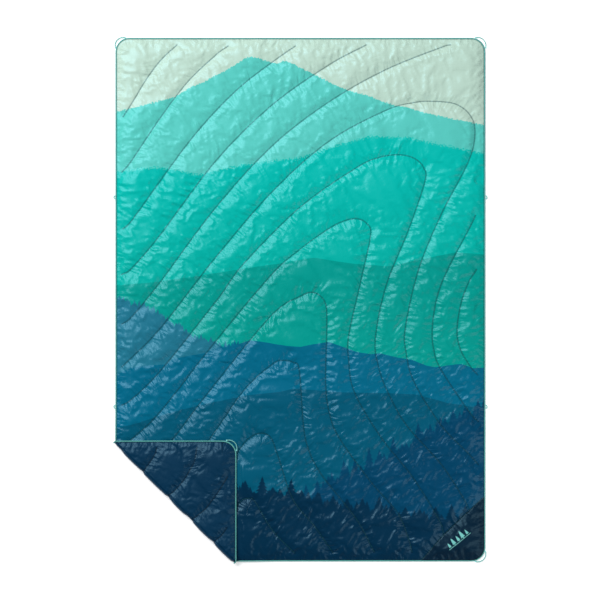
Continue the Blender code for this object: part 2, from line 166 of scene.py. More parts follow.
def smooth_line(points, spacing):
    """Evenly spaced points on a Catmull-Rom line through the given ones."""
    given = np.array([2 * np.array(points[0]) - points[1], *points, 2 * np.array(points[-1]) - points[-2]])
    runs = []
    for a, b, c, d in zip(given, given[1:], given[2:], given[3:]):
        t = np.linspace(0, 1, 16, endpoint=False)[:, None]
        runs.append(0.5 * (2 * b + (c - a) * t + (2 * a - 5 * b + 4 * c - d) * t**2
                           + (3 * b - a - 3 * c + d) * t**3))
    return even_line(np.vstack([*runs, given[-2:-1]]), spacing)


def even_line(line, spacing):
    """The line with its points moved to an even spacing."""
    reach = np.r_[0, np.cumsum(np.linalg.norm(np.diff(line, axis=0), axis=1))]
    at = np.linspace(0, reach[-1], max(2, round(reach[-1] / spacing) + 1))
    return np.column_stack([np.interp(at, reach, line[:, axis]) for axis in range(line.shape[1])])


def value_noise(u, v, seed):
    """Smooth random values from 0 to 1 over the plane, with features one unit across."""
    size = 256
    table = np.random.default_rng(seed).random((size, size))
    iu, iv = np.floor(u).astype(int), np.floor(v).astype(int)
    fu, fv = smooth_step(u - iu), smooth_step(v - iv)
    corner = lambda a, b: table[(iu + a) % size, (iv + b) % size]
    low = corner(0, 0) * (1 - fu) + corner(1, 0) * fu
    high = corner(0, 1) * (1 - fu) + corner(1, 1) * fu
    return low * (1 - fv) + high * fv


def point_tree(flat):
    """A tree that finds the nearest of some flat points."""
    tree = KDTree(len(flat))
    for i, (x, y) in enumerate(flat):
        tree.insert((x, y, 0), i)
    tree.balance()
    return tree


def near_points(flat, points, count, softness=1e-9):
    """For each point, its nearest few of the flat ones, and their weights."""
    tree = point_tree(flat)
    for x, y in points:
        hits = tree.find_n((x, y, 0), count)
        weights = np.array([1 / (hit[2]**2 + softness) for hit in hits])
        yield [hit[1] for hit in hits], weights / weights.sum()


def fold_side(flat):
    """Distance from the fold line: positive on the main panel, negative on the corner that turns over."""
    return (flat[:, 0] + flat[:, 1] - FOLD_SUM) / math.sqrt(2)


def edge_distance(flat):
    """Distance inwards from the quilt's rim."""
    over = np.abs(flat) - (HALF_SIZE - CORNER_RADIUS)
    outside = np.linalg.norm(np.maximum(over, 0), axis=1)
    return CORNER_RADIUS - CLOTH_INSET - outside - np.minimum(over.max(axis=1), 0)


def middle_level(flat, rim_level):
    """Height of the middle of the quilt: its rim droops or curls, except beside the fold."""
    rim = smooth_step(1 - edge_distance(flat) / EDGE_ZONE) * smooth_step(np.abs(fold_side(flat)) / FOLD_ZONE)
    return MIDDLE + (rim_level - MIDDLE) * rim


def turned(points):
    """Places laid out flat, turned over about the fold line."""
    return np.column_stack([FOLD_SUM - points[:, 1], FOLD_SUM - points[:, 0], 2 * FOLD_LEVEL - points[:, 2]])


# ---- Flat plans ----

def cut_at_fold(line, side):
    """The stretch of a line on one side of the fold, ending exactly on the fold where it crosses."""
    away = side * fold_side(line)
    kept = []
    for i, point in enumerate(line):
        if i and away[i] * away[i - 1] < 0:
            share = away[i - 1] / (away[i - 1] - away[i])
            kept.append(line[i - 1] + share * (point - line[i - 1]))
        if away[i] > 0:
            kept.append(point)
    return np.array(kept) if len(kept) > 1 else None


def rounded_outline(inset, steps=10):
    """The outline, anticlockwise from the lower left corner's lower end, set in by inset."""
    points = []
    for quarter, sign in zip((2, 3, 0, 1), ((-1, -1), (1, -1), (1, 1), (-1, 1))):
        centre = np.array(sign) * (HALF_SIZE - CORNER_RADIUS)
        for angle in np.linspace(quarter, quarter + 1, steps + 1) * math.pi / 2:
            points.append(centre + (CORNER_RADIUS - inset) * np.array([math.cos(angle), math.sin(angle)]))
    return np.array(points), steps


def rim_line(side, inset, spacing):
    """The outline of one panel from fold to fold, as an open line."""
    outline, steps = rounded_outline(inset)
    start = steps + 1
    if side > 0:
        line = np.vstack([outline[start - 1:], outline[:1]])
    else:
        line = np.vstack([outline[-1:], outline[:start + 1]])
    return even_line(cut_at_fold(line, side), spacing)


def fold_line(seams, inset, spacing):
    """Points along the fold from the left edge to the bottom edge, with one where each seam crosses."""
    ends = [rim_line(-1, inset, spacing)[index] for index in (0, -1)]
    line = even_line(np.array(ends), spacing)
    for seam in seams:
        away = fold_side(seam)
        for i in np.flatnonzero(away[1:] * away[:-1] < 0):
            crossing = seam[i] + away[i] / (away[i] - away[i + 1]) * (seam[i + 1] - seam[i])
            nearest = 1 + np.argmin(np.linalg.norm(line[1:-1] - crossing, axis=1))
            line[nearest] = crossing
    return line


def lattice(spacing, seed):
    """Slightly uneven points on a triangular lattice over the whole blanket."""
    columns, rows = (int(2 * half / step) + 2 for half, step in zip(HALF_SIZE, (spacing, spacing * 0.866)))
    i, j = np.meshgrid(np.arange(columns), np.arange(rows))
    across, up = (i + 0.5 * (j % 2)) * spacing, j * spacing * 0.866
    flat = np.column_stack([across.ravel(), up.ravel()]) - HALF_SIZE
    return flat + np.random.default_rng(seed).normal(0, spacing * 0.06, flat.shape)


def quilt_plan(side, loop, rim_count, seams, spacing, seed):
    """The flat triangulation of one panel: its boundary loop, rim first, its seams, and a lattice between."""
    fixed = [loop]
    edges = [(i, (i + 1) % len(loop)) for i in range(len(loop))]
    count = len(loop)
    for seam in seams:
        edges += [(count + i, count + i + 1) for i in range(len(seam) - 1)]
        count += len(seam)
        fixed.append(seam)
    fixed = np.vstack(fixed)
    near = point_tree(fixed)
    flat = lattice(spacing, seed)
    flat = flat[(edge_distance(flat) > 0.5 * spacing) & (side * fold_side(flat) > 0.5 * spacing)]
    flat = flat[[near.find((x, y, 0))[2] > 0.62 * spacing for x, y in flat]]
    places = [Vector(p) for p in np.vstack([fixed, flat])]
    made = delaunay_2d_cdt(places, edges, [list(range(len(loop)))], 1, 1e-7)
    of_input = {old: new for new, olds in enumerate(made[3]) for old in olds}
    return {
        "flat": np.array([tuple(p) for p in made[0]]),
        "faces": np.array([face for face in made[2]]),
        "loop": np.array([of_input[i] for i in range(len(loop))]),
        "fixed": np.array(sorted({of_input[i] for i in range(len(fixed))})),
        "sewn": np.array(sorted({of_input[i] for i in range(len(fixed)) if not rim_count <= i < len(loop)})),
    }


def seam_places(flat, seams):
    """For each flat point, its distance from the nearest seam or rim, how far along it is, and which."""
    spacing = 0.002
    lines = [even_line(seam, spacing) for seam in seams]
    outline = rounded_outline(CLOTH_INSET)[0]
    lines.append(even_line(np.vstack([outline, outline[:1]]), spacing))
    samples = np.vstack(lines)
    along = np.concatenate([np.arange(len(line)) * spacing for line in lines])
    which = np.concatenate([np.full(len(line), number) for number, line in enumerate(lines)])
    tree = point_tree(samples)
    found = [tree.find((x, y, 0)) for x, y in flat]
    index = np.array([hit[1] for hit in found])
    distance = np.array([hit[2] for hit in found])
    following = np.minimum(index + 1, len(samples) - 1)
    run = samples[following] - samples[index]
    off = flat - samples[index]
    turn = np.sign(run[:, 0] * off[:, 1] - run[:, 1] * off[:, 0])
    return distance, along[index], which[index] * 2 + (turn > 0)


# ---- Puffing the quilt ----

HALF_LOFT = MIDDLE - SEAM_PINCH / 2
FULL_BULGE = 0.00150  # an even bulge of this many square metres nearly fills a channel's loft


def neighbours(plan):
    """Both ends of every edge of a plan's triangles, each edge in both directions."""
    faces = plan["faces"]
    return [np.concatenate([faces[:, i] for i in order])
            for order in ((0, 1, 2, 1, 2, 0), (1, 2, 0, 0, 1, 2))]


def evened(plan, values, passes, push=0.0, held=slice(0)):
    """Each point's value drawn to the mean of its neighbours, with a push, and held at zero where sewn."""
    count = len(plan["flat"])
    starts, stops = neighbours(plan)
    around = np.bincount(starts, minlength=count)
    reach = ((plan["flat"][starts] - plan["flat"][stops])**2).sum(axis=1)
    lift = push * np.bincount(starts, reach, count) / around / 4
    for _ in range(passes):
        values = np.bincount(starts, values[stops], count) / around + lift
        values[held] = 0
    return values


def filled_share(plan, passes):
    """How much of its loft each point has: a rounded bulge that is fuller in a wide channel."""
    return np.tanh(evened(plan, np.zeros(len(plan["flat"])), passes, 1.0, plan["sewn"]) / FULL_BULGE)


def half_height(plan, share):
    """Half the thickness of the quilt without its wrinkles."""
    flat = plan["flat"]
    uneven = 0.84 + 0.32 * value_noise(flat[:, 0] / 0.11 + 9, flat[:, 1] / 0.09 + 9, 3)
    return seam_half(flat) + 1.25 * HALF_LOFT * uneven * share


def seam_half(flat):
    """Half the thickness where the quilt is stitched through, less at its rim."""
    return RIM_PINCH / 2 + (SEAM_PINCH - RIM_PINCH) / 2 * smooth_step(edge_distance(flat) / 0.02)


def gathers(distance, along, which, seed):
    """Small folds that run away from each seam, where the thread has drawn the cloth up."""
    drift = (value_noise(along / 0.13, which * 7.3, seed) - 0.5) * 2.4
    place = along + drift * distance
    height = np.zeros(len(along))
    for width, reach, rise, number in ((0.024, 0.16, 0.0062, 1), (0.0145, 0.10, 0.0034, 2)):
        wave = value_noise(place / width, which * 11.7 + distance / reach, seed + number)
        ridge = 1 - np.abs(2 * wave - 1)
        strength = value_noise(along / 0.05, which * 5.1 + distance / 0.05, seed + 10 + number)
        length = 0.022 + 0.050 * value_noise(along / 0.028, which * 3.7, seed + 20 + number)
        height += rise * (ridge - 0.68) * (0.3 + 1.8 * strength**1.5) * np.exp(-distance / length)
    return height * (1 - np.exp(-distance / 0.007))


def settle_cloth(name, points, faces, fixed, growth, pressure, frames):
    """Blows the slightly full cloth up against its seams, and gives each point's place afterwards."""
    mesh = bpy.data.meshes.new(name)
    mesh.from_pydata(points.tolist(), [], faces.tolist())
    cloth = bpy.data.objects.new(name, mesh)
    bpy.context.scene.collection.objects.link(cloth)
    cloth.vertex_groups.new(name="sewn").add(fixed.tolist(), 1, "REPLACE")
    made = cloth.modifiers.new("cloth", "CLOTH")
    settings = made.settings
    settings.quality = 4
    settings.mass = 0.15
    settings.vertex_group_mass = "sewn"
    settings.tension_stiffness = settings.compression_stiffness = 15
    settings.shear_stiffness = 5
    settings.bending_stiffness = 0.4
    settings.bending_damping = 0.5
    settings.air_damping = 2
    settings.shrink_min = settings.shrink_max = -growth
    settings.use_pressure = True
    settings.uniform_pressure_force = pressure
    settings.effector_weights.gravity = 0
    made.collision_settings.use_collision = False
    made.point_cache.frame_start = 1
    made.point_cache.frame_end = frames + 1
    for number in range(1, frames + 1):
        bpy.context.scene.frame_set(number)
    settled = cloth.evaluated_get(bpy.context.evaluated_depsgraph_get()).data
    places = np.empty(len(settled.vertices) * 3, np.float32)
    settled.vertices.foreach_get("co", places)
    bpy.context.scene.frame_set(1)
    bpy.data.objects.remove(cloth)
    bpy.data.meshes.remove(mesh)
    return places.reshape(-1, 3).astype(float)


def cloth_moves(side, loop, rim_count, seams, spacing, seed):
    """Runs the cloth on a coarse plan of one panel and gives its flat points and how far each has moved."""
    rims = [even_line(line, spacing)
            for line in (loop[:rim_count], np.vstack([loop[rim_count - 1:], loop[:1]]))]
    coarse = np.vstack([rims[0], rims[1][1:-1]])
    lines = [even_line(seam, spacing) for seam in seams]
    plan = quilt_plan(side, coarse, len(rims[0]), lines, spacing, seed)
    share = filled_share(plan, 220)
    start = np.column_stack([plan["flat"], half_height(plan, share)])
    sizes = bpy.context.scene.blanket_sizes
    moved = settle_cloth("cloth_" + str(seed), start, plan["faces"], plan["fixed"],
                         sizes.fullness, sizes.pressure, 22) - start
    low = evened(plan, moved[:, 2], 7)
    clear = smooth_step(seam_places(plan["flat"], seams)[0] / 0.030)
    moved[:, 2] = clear * np.clip(moved[:, 2] - low, -MOST_WRINKLE, MOST_WRINKLE)
    moved[:, 2] += MOST_SWELL * np.tanh(0.4 * low / MOST_SWELL) * np.minimum(1.8 * share, 1)
    moved[:, :2] = np.clip(moved[:, :2], -MOST_SLIDE, MOST_SLIDE)
    moved[plan["fixed"]] = 0
    return plan["flat"], moved


def carried(flat, coarse_flat, coarse_moves):
    """The coarse plan's moves, carried over to the points of a finer one."""
    return np.array([weights @ coarse_moves[hits] for hits, weights in
                     near_points(coarse_flat, flat, 5, softness=1e-7)])


def puffed(plan, seams, moves, seed):
    """Places of the plan's points on the face, and their distances and runs along the seams."""
    flat = plan["flat"]
    distance, along, which = seam_places(plan["flat"], seams)
    room = pucker_room(plan, distance, which)
    gathered = gathers(distance, along, which, seed) * np.minimum(3 * room, 1)
    places = np.column_stack([flat, half_height(plan, filled_share(plan, 420)) + gathered])
    if moves is not None:
        shift = carried(flat, *moves)
        shift[plan["fixed"]] = 0
        places += shift
    places[:, 2] = np.maximum(places[:, 2], RIM_PINCH / 2)
    return places, (distance, along, which, room)


def pucker_room(plan, distance, which):
    """How free the cloth is to pucker: most beside a seam, not at all where two seams' puckers would meet."""
    starts, stops = neighbours(plan)
    meets = np.zeros(len(distance))
    np.maximum.at(meets, starts, (which[starts] // 2 != which[stops] // 2).astype(float))
    calm = 1 - np.clip(1.7 * evened(plan, meets, 2), 0, 1)
    return calm * smooth_step(1 - distance / 0.055)


def panel(side, rim_level, spacing, back_spacing, sim_spacing, seed):
    """Plans one panel and puffs its face and its back."""
    seams = [smooth_line(points, 0.003) for points in SEAMS]
    fold = fold_line(seams, CLOTH_INSET, spacing)
    if side > 0:
        seams.append(smooth_line(PATCH_EDGE, 0.003))
    parts = [cut_at_fold(seam, side) for seam in seams]
    parts = [part for part in parts if part is not None]
    rim = rim_line(side, CLOTH_INSET, spacing)
    loop = np.vstack([rim, fold[1:-1] if side > 0 else fold[::-1][1:-1]])
    moves = cloth_moves(side, loop, len(rim), parts, sim_spacing, seed)
    sheets = {}
    for layer, step, sign, shift in (("face", spacing, 1, 0), ("back", back_spacing, -1, 40)):
        plan = quilt_plan(side, loop, len(rim), [even_line(part, step) for part in parts], step, seed + shift)
        places, seam_data = puffed(plan, seams, moves, seed + shift)
        places[:, 2] = middle_level(plan["flat"], rim_level) + sign * places[:, 2]
        places[:, 2] = soft_floor(places[:, 2], 0.0002)
        sheets[layer] = {"plan": plan, "places": places, "seam_data": seam_data}
    return sheets, parts


def soft_floor(height, floor, softness=0.0012):
    """Keeps heights above the floor, with a rounded run out instead of a crease."""
    over = (height - floor) / softness
    return floor + softness * np.where(over > 8, over, np.log1p(np.exp(np.minimum(over, 8))))


def under_corner(flat):
    """How far points are inside the part of the face that the turned corner lies on."""
    return (FOLD_SUM + HALF_SIZE[::-1] + 0.02 - flat).min(axis=1)


# ---- Making pieces ----

BUILT = {}  # what the panels hand on to the pieces that are made after them


def finish_piece(piece, body, finishes, nodes=()):
    """Gives a piece its finishes, puts it on its body and hides the frame nodes it stands for."""
    for finish in finishes:
        piece.data.materials.append(finish)
    bpy.context.scene.collection.objects.link(piece)
    if body:
        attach(piece, body)
    if nodes:
        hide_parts(*nodes)
    return piece


def mesh_from(name, places, faces):
    """A smooth-shaded mesh from its places and faces."""
    mesh = bpy.data.meshes.new(name)
    mesh.from_pydata(np.asarray(places).tolist(), [], faces)
    mesh.update()
    mesh.shade_smooth()
    return mesh


def add_flat_uv(mesh, flat):
    """Stores each point's place on the flat cloth, in metres, scaled to the unit square."""
    layer = mesh.uv_layers.new(name="flat_place")
    corners = np.empty(len(mesh.loops), np.int32)
    mesh.loops.foreach_get("vertex_index", corners)
    layer.data.foreach_set("uv", (flat[corners] / 2 + 0.5).astype(np.float32).ravel())


def add_seam_values(mesh, seam_data):
    """Stores each point's distance from its seam, on which side, how far along, which seam, and its room."""
    distance, run, which, room = (np.asarray(values) for values in seam_data)
    stored = {"seam_distance": distance, "seam_across": distance * np.where(which % 2, 1, -1),
              "seam_run": run, "seam_number": which // 2, "pucker_room": room}
    for name, values in stored.items():
        kept = mesh.attributes.new(name, "FLOAT", "POINT")
        kept.data.foreach_set("value", values.astype(np.float32))


def quilt_piece(name, sheets):
    """One closed mesh from the face and the back, joined round their shared boundary."""
    face, back = sheets["face"], sheets["back"]
    shift = len(face["places"])
    faces = face["plan"]["faces"].tolist() + (back["plan"]["faces"][:, ::-1] + shift).tolist()
    top, under = face["plan"]["loop"], back["plan"]["loop"] + shift
    for a, b, c, d in zip(top, under, np.roll(under, -1), np.roll(top, -1)):
        faces.append([int(a), int(b), int(c), int(d)])
    mesh = mesh_from(name, np.vstack([face["places"], back["places"]]), faces)
    material_index = np.zeros(len(faces), np.int32)
    material_index[len(face["plan"]["faces"]):] = 1
    mesh.polygons.foreach_set("material_index", material_index)
    add_flat_uv(mesh, np.vstack([face["plan"]["flat"], back["plan"]["flat"]]))
    add_seam_values(mesh, [np.concatenate(pair) for pair in zip(face["seam_data"], back["seam_data"])])
    return bpy.data.objects.new(name, mesh)


def cord_piece(name, lines, radius, radii=None):
    """Cords along lines of points, as one mesh whose UV map is in metres: round the cord, then along it."""
    curve = bpy.data.curves.new(name, "CURVE")
    curve.dimensions = "3D"
    curve.bevel_depth = radius
    curve.bevel_resolution = 3
    curve.use_fill_caps = True
    for line in lines:
        spline = curve.splines.new("POLY")
        spline.points.add(len(line) - 1)
        spline.points.foreach_set("co", np.column_stack([line, np.ones(len(line))]).ravel())
        if radii is not None:
            spline.points.foreach_set("radius", radii)
    helper = bpy.data.objects.new(name, curve)
    bpy.context.scene.collection.objects.link(helper)
    mesh = bpy.data.meshes.new_from_object(helper.evaluated_get(bpy.context.evaluated_depsgraph_get()))
    bpy.data.objects.remove(helper)
    bpy.data.curves.remove(curve)
    mesh.name = name
    mesh.materials.clear()
    layer = mesh.uv_layers[0]
    layer.name = "cord_place"
    places = np.empty(len(layer.data) * 2, np.float32)
    layer.data.foreach_get("uv", places)
    longest = max(np.linalg.norm(np.diff(line, axis=0), axis=1).sum() for line in lines)
    places = places.reshape(-1, 2) * np.array([2 * math.pi * radius, longest])
    layer.data.foreach_set("uv", places.astype(np.float32).ravel())
    weld(mesh, 0.00002)
    mesh.shade_smooth()
    return bpy.data.objects.new(name, mesh)


def thicken(piece, name):
    """Gives a thin sheet its wall, on its outer side."""
    wall = piece.modifiers.new(name, "SOLIDIFY")
    wall.thickness = SHEET_THICKNESS
    wall.offset = 1


def weld(mesh, distance):
    """Joins doubled points and turns the faces outwards."""
    made = bmesh.new()
    made.from_mesh(mesh)
    bmesh.ops.remove_doubles(made, verts=made.verts, dist=distance)
    bmesh.ops.recalc_face_normals(made, faces=made.faces)
    made.to_mesh(mesh)
    made.free()


def seam_level(flat, rim_level, sign):
    """Height of the stitched-through face, sign 1, or back, sign -1."""
    return middle_level(flat, rim_level) + sign * seam_half(flat)


STITCH_PITCH = 0.0052
STITCH_LENGTH = 0.0040


def stitch_piece(name, lines, radius, sides, up):
    """A row of short thread stitches along each line, every stitch dipping into the cloth at its ends."""
    rings = [(-0.5, 0.15, -1.3), (-0.36, 0.9, 0.1), (0.36, 0.9, 0.1), (0.5, 0.15, -1.3)]
    angles = np.arange(sides) * 2 * math.pi / sides
    template = [[ring * sides + side, ring * sides + (side + 1) % sides,
                 (ring + 1) * sides + (side + 1) % sides, (ring + 1) * sides + side]
                for ring in range(len(rings) - 1) for side in range(sides)]
    template.append(list(range(sides))[::-1])
    template.append([(len(rings) - 1) * sides + side for side in range(sides)])
    places, faces = [], []
    for line in lines:
        marks = even_line(line, STITCH_PITCH)
        for a, b in zip(marks, marks[1:]):
            along = (b - a) / np.linalg.norm(b - a)
            across = np.cross(up, along)
            across /= np.linalg.norm(across)
            lift = np.cross(along, across)
            faces += [[len(places) + index for index in face] for face in template]
            for share, size, height in rings:
                centre = (a + b) / 2 + along * share * STITCH_LENGTH + lift * height * radius
                places += [centre + radius * size * (math.cos(angle) * across + math.sin(angle) * lift)
                           for angle in angles]
    mesh = mesh_from(name, places, faces)
    weld(mesh, 0.000001)
    mesh.shade_smooth()
    return bpy.data.objects.new(name, mesh)


# ---- Finishes: the node work they share ----

def linear(code):
    """A material colour from its sRGB hex code."""
    parts = [int(code[i:i + 2], 16) / 255 for i in (1, 3, 5)]
    return (*[part / 12.92 if part <= 0.04045 else ((part + 0.055) / 1.055)**2.4 for part in parts], 1)


def shaded(colour, share, lift=0.0):
    """A deeper or paler shade of a colour."""
    return (*[min(1, share * part + lift) for part in tuple(colour)[:3]], 1)


def add_node(tree, kind, *inputs, **settings):
    """Adds a node, sets its properties, sets or links its inputs in order, and returns its first output."""
    made = tree.nodes.new("ShaderNode" + kind)
    for key, value in settings.items():
        setattr(made, key, value)
    for socket, value in zip([socket for socket in made.inputs if socket.enabled], inputs):
        if isinstance(value, bpy.types.NodeSocket):
            tree.links.new(value, socket)
        elif value is not None:
            socket.default_value = value
    return next(socket for socket in made.outputs if socket.enabled)


def new_finish(name, colour, roughness):
    """A material with its colour and roughness set, its node tree and its shader."""
    finish = bpy.data.materials.new(name)
    finish.use_nodes = True
    tree = finish.node_tree
    shader = tree.nodes["Principled BSDF"]
    shader.inputs["Base Color"].default_value = tuple(colour)
    shader.inputs["Roughness"].default_value = roughness
    finish.diffuse_color = tuple(colour)
    return finish, tree, shader


def quilted_nylon(name, colour, roughness):
    """Downproof nylon taffeta, calendered on one side: a soft satin gloss, and fine crisp creases where it is
    drawn up at the seams. Gives the finish, its tree, its flat place, and a function that colours it, with
    painted shade along the seams."""
    finish, tree, shader = new_finish(name, colour, roughness)
    shader.inputs["IOR"].default_value = 1.53
    shader.inputs["Specular IOR Level"].default_value = 0.38
    shader.inputs["Specular Tint"].default_value = linear("#9fd6ee")
    shader.inputs["Sheen Weight"].default_value = 0.02
    shader.inputs["Sheen Roughness"].default_value = 0.45
    place = add_node(tree, "UVMap", uv_map="flat_place")
    place = add_node(tree, "VectorMath", place, (2, 2, 0), (-1, -1, 0), operation="MULTIPLY_ADD")
    distance = add_node(tree, "Attribute", attribute_name="seam_distance").node.outputs["Fac"]
    beside = add_node(tree, "Attribute", attribute_name="seam_across").node.outputs["Fac"]
    run = add_node(tree, "Attribute", attribute_name="seam_run").node.outputs["Fac"]
    number = add_node(tree, "Attribute", attribute_name="seam_number").node.outputs["Fac"]
    # Puckers 16 mm apart and 100 mm long, slanting by an angle that drifts every 120 mm along the seam
    drift = add_node(tree, "TexNoise", add_node(tree, "CombineXYZ", run, number, 0.0), 8.0, 0.0)
    slant = add_node(tree, "MapRange", drift, 0.0, 1.0, -1.6, 1.6)
    slid = add_node(tree, "Math", slant, beside, run, operation="MULTIPLY_ADD")
    across = add_node(tree, "Math", slid, 62.0, operation="MULTIPLY")
    outwards = add_node(tree, "Math", beside, 10.0, operation="MULTIPLY")
    puckers = add_node(tree, "TexNoise", add_node(tree, "CombineXYZ", across, outwards, number), 1.0, 1.6)
    room = add_node(tree, "Attribute", attribute_name="pucker_room").node.outputs["Fac"]
    puckers = add_node(tree, "Math", add_node(tree, "Math", puckers, 0.5, operation="SUBTRACT"), room,
                       operation="MULTIPLY")
    # Creases of handling, 38 mm apart and finer
    crumple = add_node(tree, "TexNoise", place, 26.0, 3.0, 0.55, 2.2, 1.0, 2.0, 0.6,
                       noise_type="RIDGED_MULTIFRACTAL")
    # A ripstop rib every 5.5 mm; the 0.1 mm taffeta threads between are drawn 1.1 mm wide so that they show
    ribs = add_node(tree, "TexBrick", place, (1, 1, 1, 1), (1, 1, 1, 1), (0, 0, 0, 1), 1.0, 0.00035, 1.0, 0.0,
                    0.0055, 0.0055, offset=0.0)
    weave = add_node(tree, "TexChecker", place, None, None, 900.0).node.outputs["Fac"]
    cloth = add_node(tree, "Math", weave, 0.35, ribs, operation="MULTIPLY_ADD")
    relief = add_node(tree, "Bump", 1.0, 0.0060, None, puckers)
    relief = add_node(tree, "Bump", 1.0, 0.00014, None, crumple, relief)
    relief = add_node(tree, "Bump", 0.5, 0.00004, None, cloth, relief)
    tree.links.new(relief, shader.inputs["Normal"])
    # Painted shade in the seam's groove, with its needle holes: the colour darkens to a fine dark line along
    # each seam
    seam_shade_and_holes = add_node(tree, "MapRange", distance, 0.0003, 0.0050, 0.62, 0.0, interpolation_type="SMOOTHSTEP")

    def colour_cloth(dyed):
        ribbed = add_node(tree, "MapRange", cloth, 0.0, 1.35, 0.90, 1.0)
        dyed = add_node(tree, "Mix", 1.0, dyed, ribbed, data_type="RGBA", blend_type="MULTIPLY")
        # Painted shade along each seam, with its needle holes, multiplies into the dye
        dyed = add_node(tree, "Mix", seam_shade_and_holes, dyed, (0.10, 0.13, 0.15, 1), data_type="RGBA",
                        blend_type="MULTIPLY")
        tree.links.new(dyed, shader.inputs["Base Color"])

    return finish, tree, place, colour_cloth


# ---- Finishes: the printed face ----

# Ridges of the print, from the farthest hill to the nearest forest, as places on the flat cloth
SKY_RIDGE = [(-0.66, 0.670), (-0.60, 0.681), (-0.55, 0.694), (-0.50, 0.708), (-0.445, 0.722), (-0.40, 0.750),
             (-0.35, 0.769), (-0.30, 0.796), (-0.25, 0.822), (-0.20, 0.855), (-0.179, 0.864), (-0.153, 0.859),
             (-0.105, 0.845), (-0.079, 0.839), (-0.057, 0.850), (-0.031, 0.841), (0.0, 0.825), (0.05, 0.801),
             (0.10, 0.775), (0.15, 0.753), (0.20, 0.736), (0.25, 0.721), (0.30, 0.703), (0.40, 0.675),
             (0.45, 0.660), (0.55, 0.639), (0.66, 0.622)]
SECOND_RIDGE = [(-0.66, 0.455), (-0.50, 0.470), (-0.36, 0.445), (-0.20, 0.480), (0.0, 0.505), (0.12, 0.545),
                (0.25, 0.580), (0.38, 0.575), (0.50, 0.550), (0.66, 0.520)]
THIRD_RIDGE = [(-0.66, 0.050), (-0.50, 0.065), (-0.36, 0.085), (-0.20, 0.110), (0.05, 0.147), (0.19, 0.128),
               (0.31, 0.118), (0.42, 0.140), (0.55, 0.168), (0.66, 0.160)]
LAKE_RIDGE = [(-0.66, -0.005), (-0.631, 0.0), (-0.60, -0.025), (-0.564, -0.025), (-0.526, -0.044),
              (-0.50, -0.058), (-0.45, -0.098), (-0.433, -0.089), (-0.40, -0.129), (-0.35, -0.146),
              (-0.30, -0.158), (-0.279, -0.172), (-0.25, -0.167), (-0.20, -0.151), (-0.181, -0.145),
              (-0.10, -0.158), (-0.05, -0.165), (0.0, -0.168), (0.05, -0.158), (0.10, -0.151), (0.15, -0.168),
              (0.20, -0.186), (0.25, -0.194), (0.285, -0.191), (0.35, -0.207), (0.40, -0.215), (0.45, -0.235),
              (0.48, -0.241), (0.55, -0.231), (0.573, -0.230), (0.613, -0.244), (0.66, -0.243)]
HAZE_RIDGE = [(-0.66, -0.270), (-0.60, -0.243), (-0.55, -0.234), (-0.479, -0.231), (-0.45, -0.210),
              (-0.40, -0.201), (-0.34, -0.190), (-0.28, -0.165), (-0.20, -0.140), (0.66, -0.140)]
FAR_SHORE = [(-0.66, -0.458), (-0.58, -0.440), (-0.45, -0.398), (-0.33, -0.370), (-0.203, -0.344),
             (-0.15, -0.337), (-0.079, -0.330), (-0.031, -0.318), (0.05, -0.322), (0.15, -0.330),
             (0.323, -0.333), (0.409, -0.337), (0.528, -0.368), (0.66, -0.390)]
FOREST_FLOOR = [(-0.66, -0.98), (0.0, -0.740), (0.10, -0.665), (0.25, -0.605), (0.35, -0.555), (0.45, -0.490),
                (0.55, -0.440), (0.66, -0.400)]
NEAR_FLOOR = [(-0.66, -0.690), (-0.22, -0.690), (0.0, -0.705), (0.10, -0.740), (0.25, -0.758), (0.40, -0.782),
              (0.50, -0.788), (0.66, -0.780)]


def ridge_line(tree, x, points):
    """Height of a ridge of the print at each x, in metres up the flat cloth."""
    height = add_node(tree, "FloatCurve", 1.0, add_node(tree, "MapRange", x, -0.7, 0.7, 0.0, 1.0))
    curve = height.node.mapping.curves[0]
    for _ in points[2:]:
        curve.points.new(0.5, 0.5)
    for mark, (across, up) in zip(curve.points, sorted(points)):
        mark.location = (across + 0.7) / 1.4, (up + 1) / 2
        mark.handle_type = "VECTOR"
    height.node.mapping.update()
    return add_node(tree, "MapRange", height, 0.0, 1.0, -1.0, 1.0)


def conifers(tree, x, y, ground, pitch, tallest, number):
    """A row of pointed conifers with drooping tiers of branches: 1 inside a tree and 0 outside."""
    place = add_node(tree, "Math", x, 1 / pitch, number * 3.37, operation="MULTIPLY_ADD")
    chance = add_node(tree, "TexWhiteNoise", add_node(tree, "Math", place, operation="FLOOR"),
                      noise_dimensions="1D").node
    tall = add_node(tree, "MapRange", chance.outputs["Value"], 0.0, 1.0, 0.4 * tallest, tallest)
    stand = add_node(tree, "SeparateColor", chance.outputs["Color"])
    stand = add_node(tree, "MapRange", stand, 0.0, 1.0, 0.32, 0.68)
    off = add_node(tree, "Math", add_node(tree, "Math", place, operation="FRACT"), stand,
                   operation="SUBTRACT")
    off = add_node(tree, "Math", off, operation="ABSOLUTE")
    share = add_node(tree, "Math", add_node(tree, "Math", y, ground, operation="SUBTRACT"), tall,
                     operation="DIVIDE")
    tier = add_node(tree, "Math", add_node(tree, "Math", share, 5.3, operation="MULTIPLY"), operation="FRACT")
    spread = add_node(tree, "MapRange", tier, 0.0, 1.0, 0.56, 0.30)
    reach = add_node(tree, "Math", add_node(tree, "Math", 1.0, share, operation="SUBTRACT"), spread,
                     operation="MULTIPLY")
    return add_node(tree, "Math", off, reach, operation="LESS_THAN")


